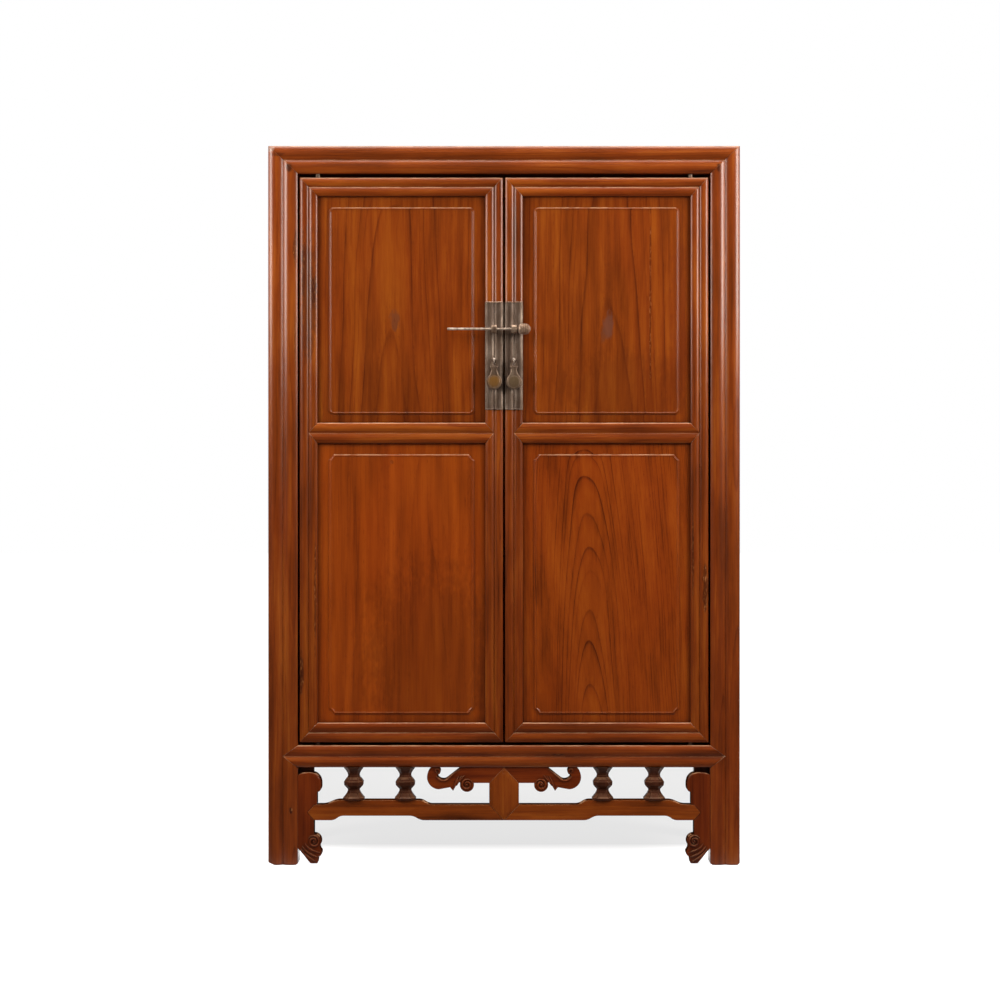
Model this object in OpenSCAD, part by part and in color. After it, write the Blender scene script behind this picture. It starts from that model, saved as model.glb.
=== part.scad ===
/* [Cabinet] */
// Width over the posts
cabinet_w = 1050; // [900:10:1300]
// Height from the floor to the top
cabinet_h = 1600; // [1500:10:1800]
// Depth from the crest of the front mouldings to the back
cabinet_d = 480; // [420:10:600]

/* [Posts and rails] */
// Width of a post, seen from the front
post_w = 66; // [60:1:80]
// Depth of a post, seen from the side
post_d = 60; // [56:1:76]
// Height of the mitred top rails
top_rail_h = 61.5; // [56:0.5:76]
// Height of the bottom rails
bottom_rail_h = 49; // [44:1:60]
// Height of the underside of the bottom rails above the floor
rail_z = 217; // [205:1:240]
// Height of the middle rails of the sides, the back and the doors
mid_rail_h = 46; // [40:1:56]
// Height of the underside of the middle rails above the floor
mid_rail_z = 938; // [900:2:980]
// Thickness of the middle rails of the sides and the back
mid_rail_t = 34; // [30:1:40]
// Rise of the two beads on the posts and the top rail
bead_rise = 6; // [4:0.5:7]
// Depth of the pointed lap where a rail runs into a moulded post
lap_d = 14; // [10:1:18]

/* [Joints] */
// Thickness of the tenons of the carcass
tenon_t = 12; // [8:1:14]
// Length of the tenons along the front and the back
tenon_l = 30; // [16:1:32]
// Length of the tenons along the sides
side_tenon_l = 22; // [12:1:26]
// Distance of a tenon from the outer face of the carcass
tenon_set = 20; // [18:1:24]
// Shoulder above and below a tenon
tenon_shoulder = 10; // [9:1:14]
// Side of the square peg that stands up from each post into the mitred corner
peg_w = 18; // [12:1:22]
// Depth of the grooves that hold the panels
groove_d = 8; // [5:1:10]
// Free space at the bottom of each groove
groove_slack = 0.9; // [0.3:0.1:1]

/* [Boards] */
// Thickness of the side and back panels
panel_t = 9; // [6:1:10]
// Set-back of the side and back panels from the outer face
panel_set = 14; // [8:1:18]
// Thickness of the top and floor boards
board_t = 14; // [12:1:18]
// Thickness of the tongue round the top and floor boards
tongue_t = 6; // [4:0.5:8]
// Drop of the top board below the top of the rails
top_drop = 1; // [0:0.5:4]
// Width of the battens under the top and floor boards
batten_w = 40; // [30:2:60]
// Depth of the battens below the boards
batten_h = 24; // [18:1:26]
// Distance of each batten from the middle of the cabinet
batten_x = 230; // [150:10:300]
// Thickness of the shelves
shelf_t = 18; // [14:1:24]
// Set-back of the shelves, clear of the swing of the doors
shelf_set = 76; // [72:1:140]
// Height of the top of the lower shelf
lower_shelf_z = 690; // [560:10:760]
// Height of the top of the upper shelf
upper_shelf_z = 1112; // [1050:10:1220]
// Width of the bearers under the shelf ends
bearer_w = 28; // [22:1:34]
// Depth of the bearers under the shelf ends
bearer_h = 30; // [24:1:40]

/* [Doors] */
// Thickness of the door frames at the crest of the beads
door_t = 26; // [24:1:30]
// Set-back of the doors behind the crest of the post mouldings
door_set = 2; // [0:0.5:4]
// Width of the stiles
stile_w = 40; // [36:1:48]
// Height of the top rails of the doors
door_top_h = 41.5; // [36:0.5:48]
// Height of the bottom rails of the doors
door_bottom_h = 44; // [38:0.5:52]
// Rise of the two beads on the door frames
door_bead_rise = 4.5; // [3:0.5:5]
// Gap between each door and its post
gap_side = 4; // [3.5:0.5:5]
// Gap between the two doors
gap_middle = 4; // [3:0.5:6]
// Gap under the doors
gap_bottom = 6.4; // [3:0.2:8]
// Gap over the doors
gap_top = 8.9; // [4:0.1:12]
// Thickness of the tenons of the door frames
door_tenon_t = 7; // [5:1:8]
// Distance of those tenons behind the crest of the beads
door_tenon_set = 13; // [12.5:0.5:14]
// Wood left outside the end of those tenons
door_tenon_wall = 6; // [4:1:10]

/* [Door panels] */
// Depth of the panel margin behind the crest of the door frame
margin_depth = 10; // [8:0.5:11]
// Rise of the field inside the margin
field_rise = 1; // [0.5:0.1:2]
// Rise of the thin bead round the field, above the field
rim_rise = 1; // [0.5:0.1:1.5]
// Width of the thin bead round the field
rim_w = 4; // [3:0.5:6]
// Width of the margin at the sides of the panel
margin_side = 24; // [18:1:32]
// Width of the margin at the top of the panel
margin_top = 24; // [18:1:32]
// Width of the margin at the bottom of the panel
margin_bottom = 18; // [14:1:30]
// Radius of the corners of the field
field_corner = 11; // [6:1:16]
// Thickness of the tongue round the door panels
door_tongue_t = 6; // [4:0.5:7]

/* [Pivots] */
// Radius of the pivot pins of the doors
pivot_r = 5; // [4:0.5:6]
// Radial clearance of the pins in the sockets of the rails
pivot_clearance = 0.05; // [0.03:0.01:0.1]
// Distance of the pivot axis from the inner face of the post
pivot_inset = 44; // [43:0.5:50]
// Depth of the sockets in the rails
socket_d = 20; // [12:1:28]
// Length of each pin inside the door
pivot_grip = 28; // [20:1:34]
// Gap at the end of each pin
pivot_end_gap = 0.3; // [0.2:0.1:1]

/* [Apron] */
// Set-back of the apron behind the crest of the post mouldings
apron_set = 6; // [2:1:12]
// Thickness of the stretchers and the scrolls
apron_t = 32; // [26:1:36]
// Thickness of the brackets beside the posts
bracket_t = 35; // [30:1:40]
// Width of the block in the middle of the apron
block_w = 66; // [56:2:76]
// Height of the underside of the stretcher where it is low
stretcher_z = 99; // [90:1:108]
// Height of the section of the stretcher
stretcher_h = 35; // [30:1:38]
// Rise of the middle of the stretcher
hump = 10; // [4:1:14]
// Distance from the middle at which the hump begins
hump_start = 178; // [170:1:182]
// Distance from the post at which the hump ends
hump_end_inset = 79; // [76:1:92]
// Run of the sloping step at each end of the hump
hump_run = 18; // [10:1:24]
// Height of the beam that carries the scrolls
beam_h = 35; // [30:1:40]
// Width of the bracket below the stretcher
bracket_w = 36; // [32:1:44]
// Radius of the scroll at the foot of the bracket
foot_scroll_r = 16.3; // [12:0.1:19]
// Distance of the inner balusters from the middle
inner_baluster_x = 220; // [214:1:240]
// Distance of the outer balusters from the middle
outer_baluster_x = 335; // [300:1:350]
// Thickness of the boards under the side rails
side_apron_t = 16; // [12:1:20]
// Height of the boards under the side rails
side_apron_h = 35; // [25:1:50]

/* [Hardware] */
// Height of the face plates
plate_h = 240; // [200:2:280]
// Height of the lower end of the face plates above the floor
plate_z = 1013; // [1000:1:1040]
// Thickness of the face plates
plate_t = 1.2; // [0.8:0.1:2]
// Height of the latch pin above the lower end of the face plates
latch_up = 178; // [168:1:190]
// Distance of the latch pin in front of the door frames
latch_out = 20; // [17:0.5:24]
// Radius of the latch pin
latch_r = 2.6; // [2:0.1:3.2]
// Radial clearance of the latch pin in the knobs
latch_clearance = 0.4; // [0.3:0.1:0.8]
// Distance that the latch pin reaches past the middle of the left knob
latch_reach = 104; // [60:1:120]
// Diameter of the head of the latch pin
latch_head_d = 27; // [20:1:30]
// Width of the lock knobs
knob_w = 13; // [10:0.5:16]
// Radius of the nose of the lock knobs
knob_r = 9.5; // [7:0.5:11]
// Radius of the shanks that hold the knobs and eyes
shank_r = 2; // [1.5:0.1:2.5]
// Height of the eyes that carry the pulls above the lower end of the face plates
eye_up = 109; // [100:1:120]
// Mean radius of the ring of each eye
eye_r = 4.6; // [4.4:0.1:6]
// Radius of the wire of each eye
eye_wire_r = 1.4; // [1:0.1:1.6]
// Distance of the ring's middle in front of the face plate
eye_out = 7.5; // [7:0.5:10]
// Thickness of the pulls
pull_t = 2.4; // [2:0.1:3]
// Radius of the disc at the foot of the pulls
pull_disc_r = 17.5; // [14:0.5:18]
// Distance of the middle of that disc below the eye
pull_drop = 47; // [42:1:56]

/* [Hidden] */

$fn = 64;
left = -1;
right = 1;
front = -1;
back = 1;
cut = 1;
elm = "#7a3510";
dark_elm = "#3a1c12";
aged_brass = "#6e5e4c";

// The hardware stands out in front, and the origin is under the middle of the whole
latch_head_r = latch_head_d / 2;
reach_out = latch_out - door_set + latch_head_r;
front_y = (reach_out - cabinet_d) / 2;
back_y = front_y + cabinet_d;
mid_y = (front_y + back_y) / 2;
outer_x = cabinet_w / 2;
inner_x = outer_x - post_w;
inner_front_y = front_y + post_d;
inner_back_y = back_y - post_d;
rail_top = rail_z + bottom_rail_h;
mid_rail_top = mid_rail_z + mid_rail_h;
top_rail_z = cabinet_h - top_rail_h;
lap = post_w / 2;
mitre_set = bead_rise + 2;
tongue = groove_d - groove_slack;

// Boards and shelves
top_board_z = cabinet_h - top_drop - board_t;
floor_board_z = rail_top - board_t;
shelf_back_y = back_y - mid_rail_t;
shelf_end_x = inner_x + bearer_w;

// Doors: x0 is the hinge edge and x1 the meeting edge of the left door
door_x0 = -inner_x + gap_side;
door_x1 = -gap_middle / 2;
door_z0 = rail_top + gap_bottom;
door_z1 = top_rail_z - gap_top;
door_y = front_y + door_set;
door_back_y = door_y + door_t;
door_lap = stile_w / 2;
door_lap_d = door_tenon_set - 1;
panel_x0 = door_x0 + stile_w;
panel_x1 = door_x1 - stile_w;
margin_y = door_y + margin_depth;
tongue_y = door_y + door_tenon_set + (door_tenon_t - door_tongue_t) / 2;
door_tenon_y = door_y + door_tenon_set;

// Pivots
pivot_x = -inner_x + pivot_inset;
pivot_y = door_y + door_t / 2;

// Apron
apron_y = front_y + apron_set;
block_half = block_w / 2;
stretcher_top = stretcher_z + stretcher_h;
bracket_x = inner_x - bracket_w;
stretcher_lap = bracket_w / 2.4;
hump_end = inner_x - hump_end_inset;

// Hardware on the left door, mirrored for the right door
knob_x = door_x1 - stile_w / 2;
latch_z = plate_z + latch_up;
eye_z = plate_z + eye_up;
latch_y = door_y - latch_out;
plate_front_y = door_y - plate_t;
eye_y = plate_front_y - eye_out;
latch_tip_x = knob_x - latch_reach;
latch_collar_x = -knob_x + knob_w / 2 + latch_clearance;

// Radius of a bead from its width and rise
function bead_r(w, rise) = (w * w / 4 + rise * rise) / (2 * rise);

// Half-cosine step from 0 to 1, used for the slopes of the stretcher
function ease(t) = (1 - cos(180 * t)) / 2;

module box(a, b) {
  translate(a) cube(b - a);
}

// Outlines drawn in x and z, y and z, or x and y, given a thickness from a starting place
module plate_xz(y, t) {
  translate([0, y + t, 0]) rotate([90, 0, 0]) linear_extrude(t) children();
}

module plate_yz(x, t) {
  translate([x, 0, 0]) rotate([90, 0, 90]) linear_extrude(t) children();
}

module plate_xy(z, t) {
  translate([0, 0, z]) linear_extrude(t) children();
}

// A piece drawn for the left side, mirrored for the right side
module on_side(side) {
  if (side == right) mirror([1, 0, 0]) children();
  else children();
}

// A piece drawn for the right side, mirrored for the left side
module on_apron_side(side) {
  if (side == left) mirror([1, 0, 0]) children();
  else children();
}

// A piece drawn for the front, mirrored for the back
module on_end(end) {
  if (end == back) translate([0, 2 * mid_y, 0]) mirror([0, 1, 0]) children();
  else children();
}

// Section of a member with two equal beads on its front face
module double_bead(w, d, rise) {
  intersection() {
    square([w, d]);
    union() {
      translate([0, rise]) square([w, d - rise]);
      for (i = [0, 1]) translate([w / 4 + i * w / 2, bead_r(w / 2, rise)]) circle(r = bead_r(w / 2, rise));
    }
  }
}

// Moulded bar standing up from z0, and moulded bar lying along x below z1
module upright_bar(x, y, z0, w, d, h, rise) {
  translate([x, y, z0]) linear_extrude(h) double_bead(w, d, rise);
}

module level_bar(x, y, z1, len, d, h, rise) {
  translate([x, y, z1]) rotate([0, 90, 0]) linear_extrude(len) double_bead(h, d, rise);
}

// The two sides of a mitre line that runs from a corner at the origin to [w, -h]
module mitre_above(w, h) {
  polygon([[-0.1 * w, 0.1 * h], [1.1 * w, -1.1 * h], [1.1 * w, 0.1 * h]]);
}

module mitre_below(w, h) {
  polygon([[-0.1 * w, 0.1 * h], [1.1 * w, -1.1 * h], [-0.1 * w, -1.1 * h]]);
}

// Point at the end of a rail, from a shoulder at x to a tip at x + reach
module lap_point(x, reach, z0, h) {
  polygon([[x - sign(reach), z0], [x, z0], [x + reach, z0 + h / 2], [x, z0 + h], [x - sign(reach), z0 + h]]);
}

// Three-way mitre at the upper left corner of one end. The mitres of the side start a little
// behind the rounded arris of the front moulding
module at_corner(set = 0) {
  translate([-outer_x, front_y + set, cabinet_h]) children();
}

module post_mitre(set) {
  at_corner() plate_xz(-cut, post_d + 2 * cut) mitre_above(post_w, top_rail_h);
  at_corner(set) plate_yz(-cut, post_w + 2 * cut) mitre_above(post_d - set, top_rail_h);
}

module end_rail_mitre(set) {
  at_corner() plate_xz(-cut, post_d + 2 * cut) mitre_below(post_w, top_rail_h);
  at_corner(set) plate_xy(-top_rail_h - cut, top_rail_h + 2 * cut)
    mirror([0, 1]) mitre_below(post_w, post_d - set);
}

module side_rail_mitre(set) {
  at_corner(set) {
    plate_yz(-cut, post_w + 2 * cut) mitre_below(post_d - set, top_rail_h);
    plate_xy(-top_rail_h - cut, top_rail_h + 2 * cut) mirror([0, 1]) mitre_above(post_w, post_d - set);
  }
}

module post_peg() {
  at_corner() translate([0.6 * post_w - peg_w / 2, 0.6 * post_d - peg_w / 2, -top_rail_h])
    cube([peg_w, peg_w, 0.75 * top_rail_h]);
}

// Tenons of the left side rails, in the front post
module side_tenon(z0, h) {
  box([-outer_x + tenon_set, inner_front_y - side_tenon_l, z0 + tenon_shoulder],
      [-outer_x + tenon_set + tenon_t, inner_front_y + cut, z0 + h - tenon_shoulder]);
}

// Tenons of the front and back rails, in the left front post
module end_tenon(z0, h) {
  box([-inner_x - tenon_l, front_y + tenon_set, z0 + tenon_shoulder],
      [-inner_x + cut, front_y + tenon_set + tenon_t, z0 + h - tenon_shoulder]);
}

// Panels between two rails, with edges let into the grooves by a reach
module side_panel(z0, z1, reach) {
  box([-outer_x + panel_set, inner_front_y - reach, z0 - reach],
      [-outer_x + panel_set + panel_t, inner_back_y + reach, z1 + reach]);
}

module side_panel_pair(reach) {
  side_panel(rail_top, mid_rail_z, reach);
  side_panel(mid_rail_top, top_rail_z, reach);
}

module back_panel(z0, z1, reach) {
  box([-inner_x - reach, back_y - panel_set - panel_t, z0 - reach],
      [inner_x + reach, back_y - panel_set, z1 + reach]);
}

module back_panel_pair(reach) {
  back_panel(rail_top, mid_rail_z, reach);
  back_panel(mid_rail_top, top_rail_z, reach);
}

// Tongues of the top and floor boards, which leave the corners to the posts
module board_tongue(z, reach) {
  z0 = z + (board_t - tongue_t) / 2;
  box([-inner_x - reach, inner_front_y, z0], [inner_x + reach, inner_back_y, z0 + tongue_t]);
  box([-inner_x, inner_front_y - reach, z0], [inner_x, inner_back_y + reach, z0 + tongue_t]);
}

module batten_tenons(board_z) {
  tenon_z = board_z - 0.7 * batten_h;
  for (side = [left, right])
    translate([side * batten_x, 0, 0])
      box([-batten_w * 0.35, inner_front_y - groove_d, tenon_z],
          [batten_w * 0.35, inner_back_y + groove_d, tenon_z + batten_h * 0.4]);
}

module battens(board_z) {
  for (side = [left, right])
    translate([side * batten_x, 0, 0])
      box([-batten_w / 2, inner_front_y, board_z - batten_h], [batten_w / 2, inner_back_y, board_z]);
  batten_tenons(board_z);
}

// Stub tenons of the shelf bearers, in the posts
module bearer_stub(shelf_z) {
  box([-inner_x - bearer_w * 0.75, inner_front_y - groove_d, shelf_z - shelf_t - bearer_h * 0.75],
      [-inner_x - bearer_w * 0.25, inner_back_y + groove_d, shelf_z - shelf_t - bearer_h * 0.25]);
}

module post_mortises() {
  end_tenon(rail_z, bottom_rail_h);
  side_tenon(rail_z, bottom_rail_h);
  side_tenon(mid_rail_z, mid_rail_h);
  side_panel_pair(groove_d);
  bearer_stub(lower_shelf_z);
  bearer_stub(upper_shelf_z);
}

module post_front(side) {
  color(elm) on_side(side) {
    difference() {
      upright_bar(-outer_x, front_y, 0, post_w, post_d, cabinet_h, bead_rise);
      post_mitre(mitre_set);
      post_mortises();
      plate_xz(front_y - cut, lap_d + cut) lap_point(-inner_x, -lap, rail_z, bottom_rail_h);
    }
    post_peg();
  }
}

module post_back(side) {
  color(elm) on_side(side) {
    difference() {
      box([-outer_x, inner_back_y, 0], [-inner_x, back_y, cabinet_h]);
      on_end(back) post_mitre(0);
      post_mortises_back();
    }
    on_end(back) post_peg();
  }
}

module post_mortises_back() {
  on_end(back) {
    end_tenon(rail_z, bottom_rail_h);
    end_tenon(mid_rail_z, mid_rail_h);
    side_tenon(rail_z, bottom_rail_h);
    side_tenon(mid_rail_z, mid_rail_h);
  }
  side_panel_pair(groove_d);
  back_panel_pair(groove_d);
  bearer_stub(lower_shelf_z);
  bearer_stub(upper_shelf_z);
}

module pivot_sockets() {
  for (side = [left, right]) on_side(side) {
    translate([pivot_x, pivot_y, top_rail_z - cut])
      cylinder(r = pivot_r + pivot_clearance, h = socket_d + cut);
    translate([pivot_x, pivot_y, rail_top - socket_d])
      cylinder(r = pivot_r + pivot_clearance, h = socket_d + cut);
  }
}

module top_rail_cuts(set) {
  for (side = [left, right]) on_side(side) {
    end_rail_mitre(set);
    post_peg();
  }
}

module top_rail_front() {
  color(elm) difference() {
    level_bar(-outer_x, front_y, cabinet_h, cabinet_w, post_d, top_rail_h, bead_rise);
    top_rail_cuts(mitre_set);
    board_tongue(top_board_z, groove_d);
    batten_tenons(top_board_z);
    pivot_sockets();
  }
}

module top_rail_back() {
  color(elm) difference() {
    box([-outer_x, inner_back_y, top_rail_z], [outer_x, back_y, cabinet_h]);
    on_end(back) top_rail_cuts(0);
    board_tongue(top_board_z, groove_d);
    batten_tenons(top_board_z);
    back_panel_pair(groove_d);
  }
}

module top_rail_side(side) {
  color(elm) on_side(side) difference() {
    box([-outer_x, front_y + bead_rise, top_rail_z], [-inner_x, back_y, cabinet_h]);
    for (end = [front, back]) on_end(end) {
      side_rail_mitre(end == front ? mitre_set : 0);
      post_peg();
    }
    board_tongue(top_board_z, groove_d);
    side_panel_pair(groove_d);
  }
}

module bottom_rail_front() {
  color(elm) difference() {
    union() {
      intersection() {
        level_bar(-outer_x, front_y, rail_top, cabinet_w, post_d, bottom_rail_h, bead_rise * 0.8);
        union() {
          box([-inner_x, front_y, rail_z], [inner_x, inner_front_y, rail_top]);
          for (side = [left, right])
            on_side(side) plate_xz(front_y, lap_d) lap_point(-inner_x, -lap, rail_z, bottom_rail_h);
        }
      }
      for (side = [left, right]) on_side(side) end_tenon(rail_z, bottom_rail_h);
    }
    board_tongue(floor_board_z, groove_d);
    batten_tenons(floor_board_z);
    pivot_sockets();
  }
}

module bottom_rail_back() {
  color(elm) difference() {
    union() {
      box([-inner_x, inner_back_y, rail_z], [inner_x, back_y, rail_top]);
      for (side = [left, right]) on_side(side) on_end(back) end_tenon(rail_z, bottom_rail_h);
    }
    board_tongue(floor_board_z, groove_d);
    batten_tenons(floor_board_z);
    back_panel_pair(groove_d);
  }
}

module bottom_rail_side(side) {
  color(elm) on_side(side) difference() {
    union() {
      box([-outer_x, inner_front_y, rail_z], [-inner_x, inner_back_y, rail_top]);
      for (end = [front, back]) on_end(end) side_tenon(rail_z, bottom_rail_h);
    }
    board_tongue(floor_board_z, groove_d);
    side_panel_pair(groove_d);
  }
}

module mid_rail_side(side) {
  color(elm) on_side(side) difference() {
    union() {
      box([-outer_x, inner_front_y, mid_rail_z], [-outer_x + mid_rail_t, inner_back_y, mid_rail_top]);
      for (end = [front, back]) on_end(end) side_tenon(mid_rail_z, mid_rail_h);
    }
    side_panel_pair(groove_d);
  }
}

module mid_rail_back() {
  color(elm) difference() {
    union() {
      box([-inner_x, back_y - mid_rail_t, mid_rail_z], [inner_x, back_y, mid_rail_top]);
      for (side = [left, right]) on_side(side) on_end(back) end_tenon(mid_rail_z, mid_rail_h);
    }
    back_panel_pair(groove_d);
  }
}

module side_panels(side) {
  color(elm) on_side(side) side_panel_pair(tongue);
}

module back_panels() {
  color(elm) back_panel_pair(tongue);
}

module framed_board(z) {
  box([-inner_x, inner_front_y, z], [inner_x, inner_back_y, z + board_t]);
  board_tongue(z, tongue);
}

module top_board() {
  color(elm) framed_board(top_board_z);
}

module top_battens() {
  color(elm) battens(top_board_z);
}

module floor_board() {
  color(elm) framed_board(floor_board_z);
}

module floor_battens() {
  color(elm) battens(floor_board_z);
}

// A shelf is notched round the back posts and rests on its bearers
module shelf(z) {
  color(elm) difference() {
    box([-shelf_end_x, front_y + shelf_set, z - shelf_t], [shelf_end_x, shelf_back_y, z]);
    for (side = [left, right]) on_side(side)
      box([-shelf_end_x - cut, inner_back_y, z - shelf_t - cut],
          [-inner_x, shelf_back_y + cut, z + cut]);
  }
}

module shelf_bearers() {
  color(elm) for (side = [left, right], z = [lower_shelf_z, upper_shelf_z]) on_side(side) {
    box([-inner_x - bearer_w, inner_front_y, z - shelf_t - bearer_h],
        [-inner_x, inner_back_y, z - shelf_t]);
    bearer_stub(z);
  }
}

// Apron: outlines are drawn for the right side, from the middle outwards
module stretcher_outline() {
  steps = 8;
  rise_in = [for (i = [0:steps]) [hump_start + hump_run * i / steps, hump * ease(i / steps)]];
  fall_out = [for (i = [0:steps]) [hump_end + hump_run * i / steps, hump * ease(1 - i / steps)]];
  line = concat(rise_in, fall_out);
  last = len(line) - 1;
  polygon(concat(
    [[0, stretcher_z], [block_half, stretcher_top]],
    [for (p = line) [p[0], stretcher_top + p[1]]],
    [[bracket_x, stretcher_top], [bracket_x + stretcher_lap, stretcher_z + stretcher_h / 2],
     [bracket_x, stretcher_z]],
    [for (i = [last:-1:0]) [line[i][0], stretcher_z + line[i][1]]]
  ));
}

module stretcher(side) {
  color(elm) on_apron_side(side) plate_xz(apron_y, apron_t) stretcher_outline();
}

module block_outline(inset) {
  w = block_half - inset;
  polygon([[0, rail_z - inset], [w, rail_z - beam_h], [w, stretcher_top],
           [0, stretcher_z + inset], [-w, stretcher_top], [-w, rail_z - beam_h]]);
}

module centre_block() {
  tablet_inset = 4;
  color(elm) {
    plate_xz(apron_y, apron_t) block_outline(0);
    plate_xz(apron_y - 2, 2) block_outline(tablet_inset);
  }
}

// Cloud scroll: beam, curl, leaf and the hooked arm that ends under the rail. The carved
// outlines are drawn in units that grow with the beam and with the bracket
beam_unit = beam_h / 35;
curl_c = [block_half + 50 * beam_unit, rail_z - 38 * beam_unit];
curl_r = 16 * beam_unit;
hook_c = [block_half + 111 * beam_unit, rail_z - 22 * beam_unit];
hook_r = 27 * beam_unit;
tip_c = hook_c + beam_unit * [5, 13.5];
tip_r = 8.5 * beam_unit;
arm_start = [block_half + 64 * beam_unit, rail_z];

module scroll_outline() {
  u = beam_unit;
  difference() {
    union() {
      polygon([[0, rail_z], [block_half, rail_z - beam_h], [curl_c[0], rail_z - beam_h - 4 * u],
               curl_c + u * [24, 0], hook_c - u * [25, 25], hook_c + [0, u - hook_r],
               hook_c, hook_c + u * [-12, 12], arm_start]);
      translate(curl_c) circle(r = curl_r);
      translate(hook_c) circle(r = hook_r);
      polygon([curl_c + u * [16, 14], curl_c + u * [26, 2], curl_c + u * [31, -13], curl_c + u * [24, -10]]);
    }
    difference() {
      union() {
        translate(hook_c + u * [-8.5, 6]) circle(r = 12 * u);
        polygon([arm_start + [0, cut], arm_start + u * [28, -23.5], hook_c, hook_c + [2 * u, 22 * u + cut]]);
      }
      translate(tip_c) circle(r = tip_r);
    }
    translate([0, rail_z]) square([hook_c[0] + 2 * hook_r, 2 * hook_r]);
  }
}

module cloud_scroll(side) {
  color(elm) on_apron_side(side) plate_xz(apron_y, apron_t) scroll_outline();
}

// Bracket: rounded lobe above, post below, curled foot
bracket_unit = bracket_w / 36;
lobe_r = 18 * bracket_unit;
lobe_w = 52.5 * bracket_unit;
lobe_top = rail_z - 12 * bracket_unit;
lobe_z = lobe_top - 45 * bracket_unit;
foot_c = [bracket_x, 51 * bracket_unit];

module bracket_outline() {
  u = bracket_unit;
  translate([bracket_x, foot_c[1] - 20 * u]) square([bracket_w, lobe_top - foot_c[1] + 13 * u]);
  translate([inner_x - lobe_w + lobe_r, lobe_top - lobe_r]) circle(r = lobe_r);
  translate([inner_x - lobe_w / 2 + 3 * u, lobe_top - lobe_r]) circle(r = lobe_r);
  translate([inner_x - lobe_w + lobe_r, lobe_z + lobe_r]) square([lobe_w - lobe_r, lobe_top - lobe_z - 26 * u]);
  translate([inner_x - lobe_w + lobe_r, lobe_top - lobe_r]) square([lobe_w / 2 - 15 * u, lobe_r]);
  translate([inner_x - lobe_w, lobe_z + 12 * u]) square([lobe_r, lobe_top - lobe_z - 12 * u - lobe_r]);
  translate([inner_x - lobe_w, lobe_z] + 12 * u * [1, 1]) circle(r = 12 * u);
  translate(foot_c) circle(r = foot_scroll_r);
  translate(foot_c - u * [9, 24]) circle(r = 9 * u);
  polygon([foot_c - u * [10, 11], foot_c - u * [14, 31], foot_c - u * [8, 47], foot_c + u * [9, -48.5],
           [inner_x - 4 * u, foot_c[1] - 20 * u], [inner_x - 4 * u, foot_c[1] + 9 * u]]);
}

module bracket(side) {
  color(elm) on_apron_side(side) {
    difference() {
      plate_xz(apron_y, bracket_t) bracket_outline();
      plate_xz(apron_y - cut, apron_t + cut)
        lap_point(bracket_x, stretcher_lap, stretcher_z, stretcher_h);
    }
    box([bracket_x + 2, apron_y + bracket_t / 2, lobe_top - lobe_r], [inner_x, apron_y + bracket_t, rail_z]);
  }
}

// Turned vase strut with eight flat sides, between the hump and the bottom rail
module baluster(x) {
  base_z = stretcher_top + hump;
  h = rail_z - base_z;
  plinth = 23.5;
  wide = 22;
  narrow = 12;
  plinth_h = 7;
  translate([x, apron_y + apron_t / 2, base_z]) {
    rotate([0, 0, 22.5]) rotate_extrude($fn = 8)
      polygon([[0, 0], [wide * 1.08, 0], [wide * 1.08, plinth_h], [narrow * 1.12, 0.29 * h],
               [narrow * 1.12, 0.33 * h], [wide, 0.46 * h], [wide, 0.54 * h], [narrow * 1.2, 0.7 * h],
               [narrow * 1.25, 0.76 * h], [wide, h], [0, h]]);
  }
}

module balusters() {
  color(dark_elm) for (side = [left, right], x = [inner_baluster_x, outer_baluster_x]) baluster(side * x);
}

module side_apron(side) {
  color(elm) on_side(side) {
    box([-outer_x + mid_rail_t / 2, inner_front_y, rail_z - side_apron_h],
        [-outer_x + mid_rail_t / 2 + side_apron_t, inner_back_y, rail_z]);
  }
}

// Door joinery, drawn for the left door
module door_mitre_top() {
  translate([door_x0, 0, door_z1]) children();
}

module door_tenon(x_in, x_out, z0, z1) {
  box([min(x_in, x_out), door_tenon_y, z0], [max(x_in, x_out), door_tenon_y + door_tenon_t, z1]);
}

// The tenons of the three rails, each long enough to be cut from both stiles
module door_tenons() {
  shoulder = groove_d + 1;
  x0 = door_x0 + door_tenon_wall;
  x1 = door_x1 - door_tenon_wall;
  door_tenon(x0, x1, door_z1 - door_top_h + shoulder, door_z1 - shoulder);
  door_tenon(x0, x1, mid_rail_z + shoulder, mid_rail_top - shoulder);
  door_tenon(x0, x1, door_z0 + shoulder, door_z0 + door_bottom_h - shoulder);
}

module door_panel_tongue(z0, z1, reach) {
  box([panel_x0 - reach, tongue_y, z0 - reach], [panel_x1 + reach, tongue_y + door_tongue_t, z1 + reach]);
}

module door_grooves() {
  door_panel_tongue(mid_rail_top, door_z1 - door_top_h, groove_d);
  door_panel_tongue(door_z0 + door_bottom_h, mid_rail_z, groove_d);
}

// What the rails own at the corners and in the laps of the hinge stile
module stile_cuts() {
  depth = door_t + 2 * cut;
  translate([door_x0, 0, door_z1]) plate_xz(door_y - cut, depth) mitre_above(stile_w, door_top_h);
  translate([door_x0, 0, door_z0]) plate_xz(door_y - cut, depth) mirror([0, 1]) mitre_above(stile_w, door_bottom_h);
  plate_xz(door_y - cut, door_lap_d + cut) lap_point(panel_x0, -door_lap, mid_rail_z, mid_rail_h);
}

module door_middle_mirror() {
  translate([door_x0 + door_x1, 0, 0]) mirror([1, 0, 0]) children();
}

module stile_body() {
  difference() {
    upright_bar(door_x0, door_y, door_z0, stile_w, door_t, door_z1 - door_z0, door_bead_rise);
    stile_cuts();
    door_tenons();
  }
}

module hinge_stile(side) {
  color(elm) on_side(side) difference() {
    stile_body();
    door_grooves();
  }
}

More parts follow.
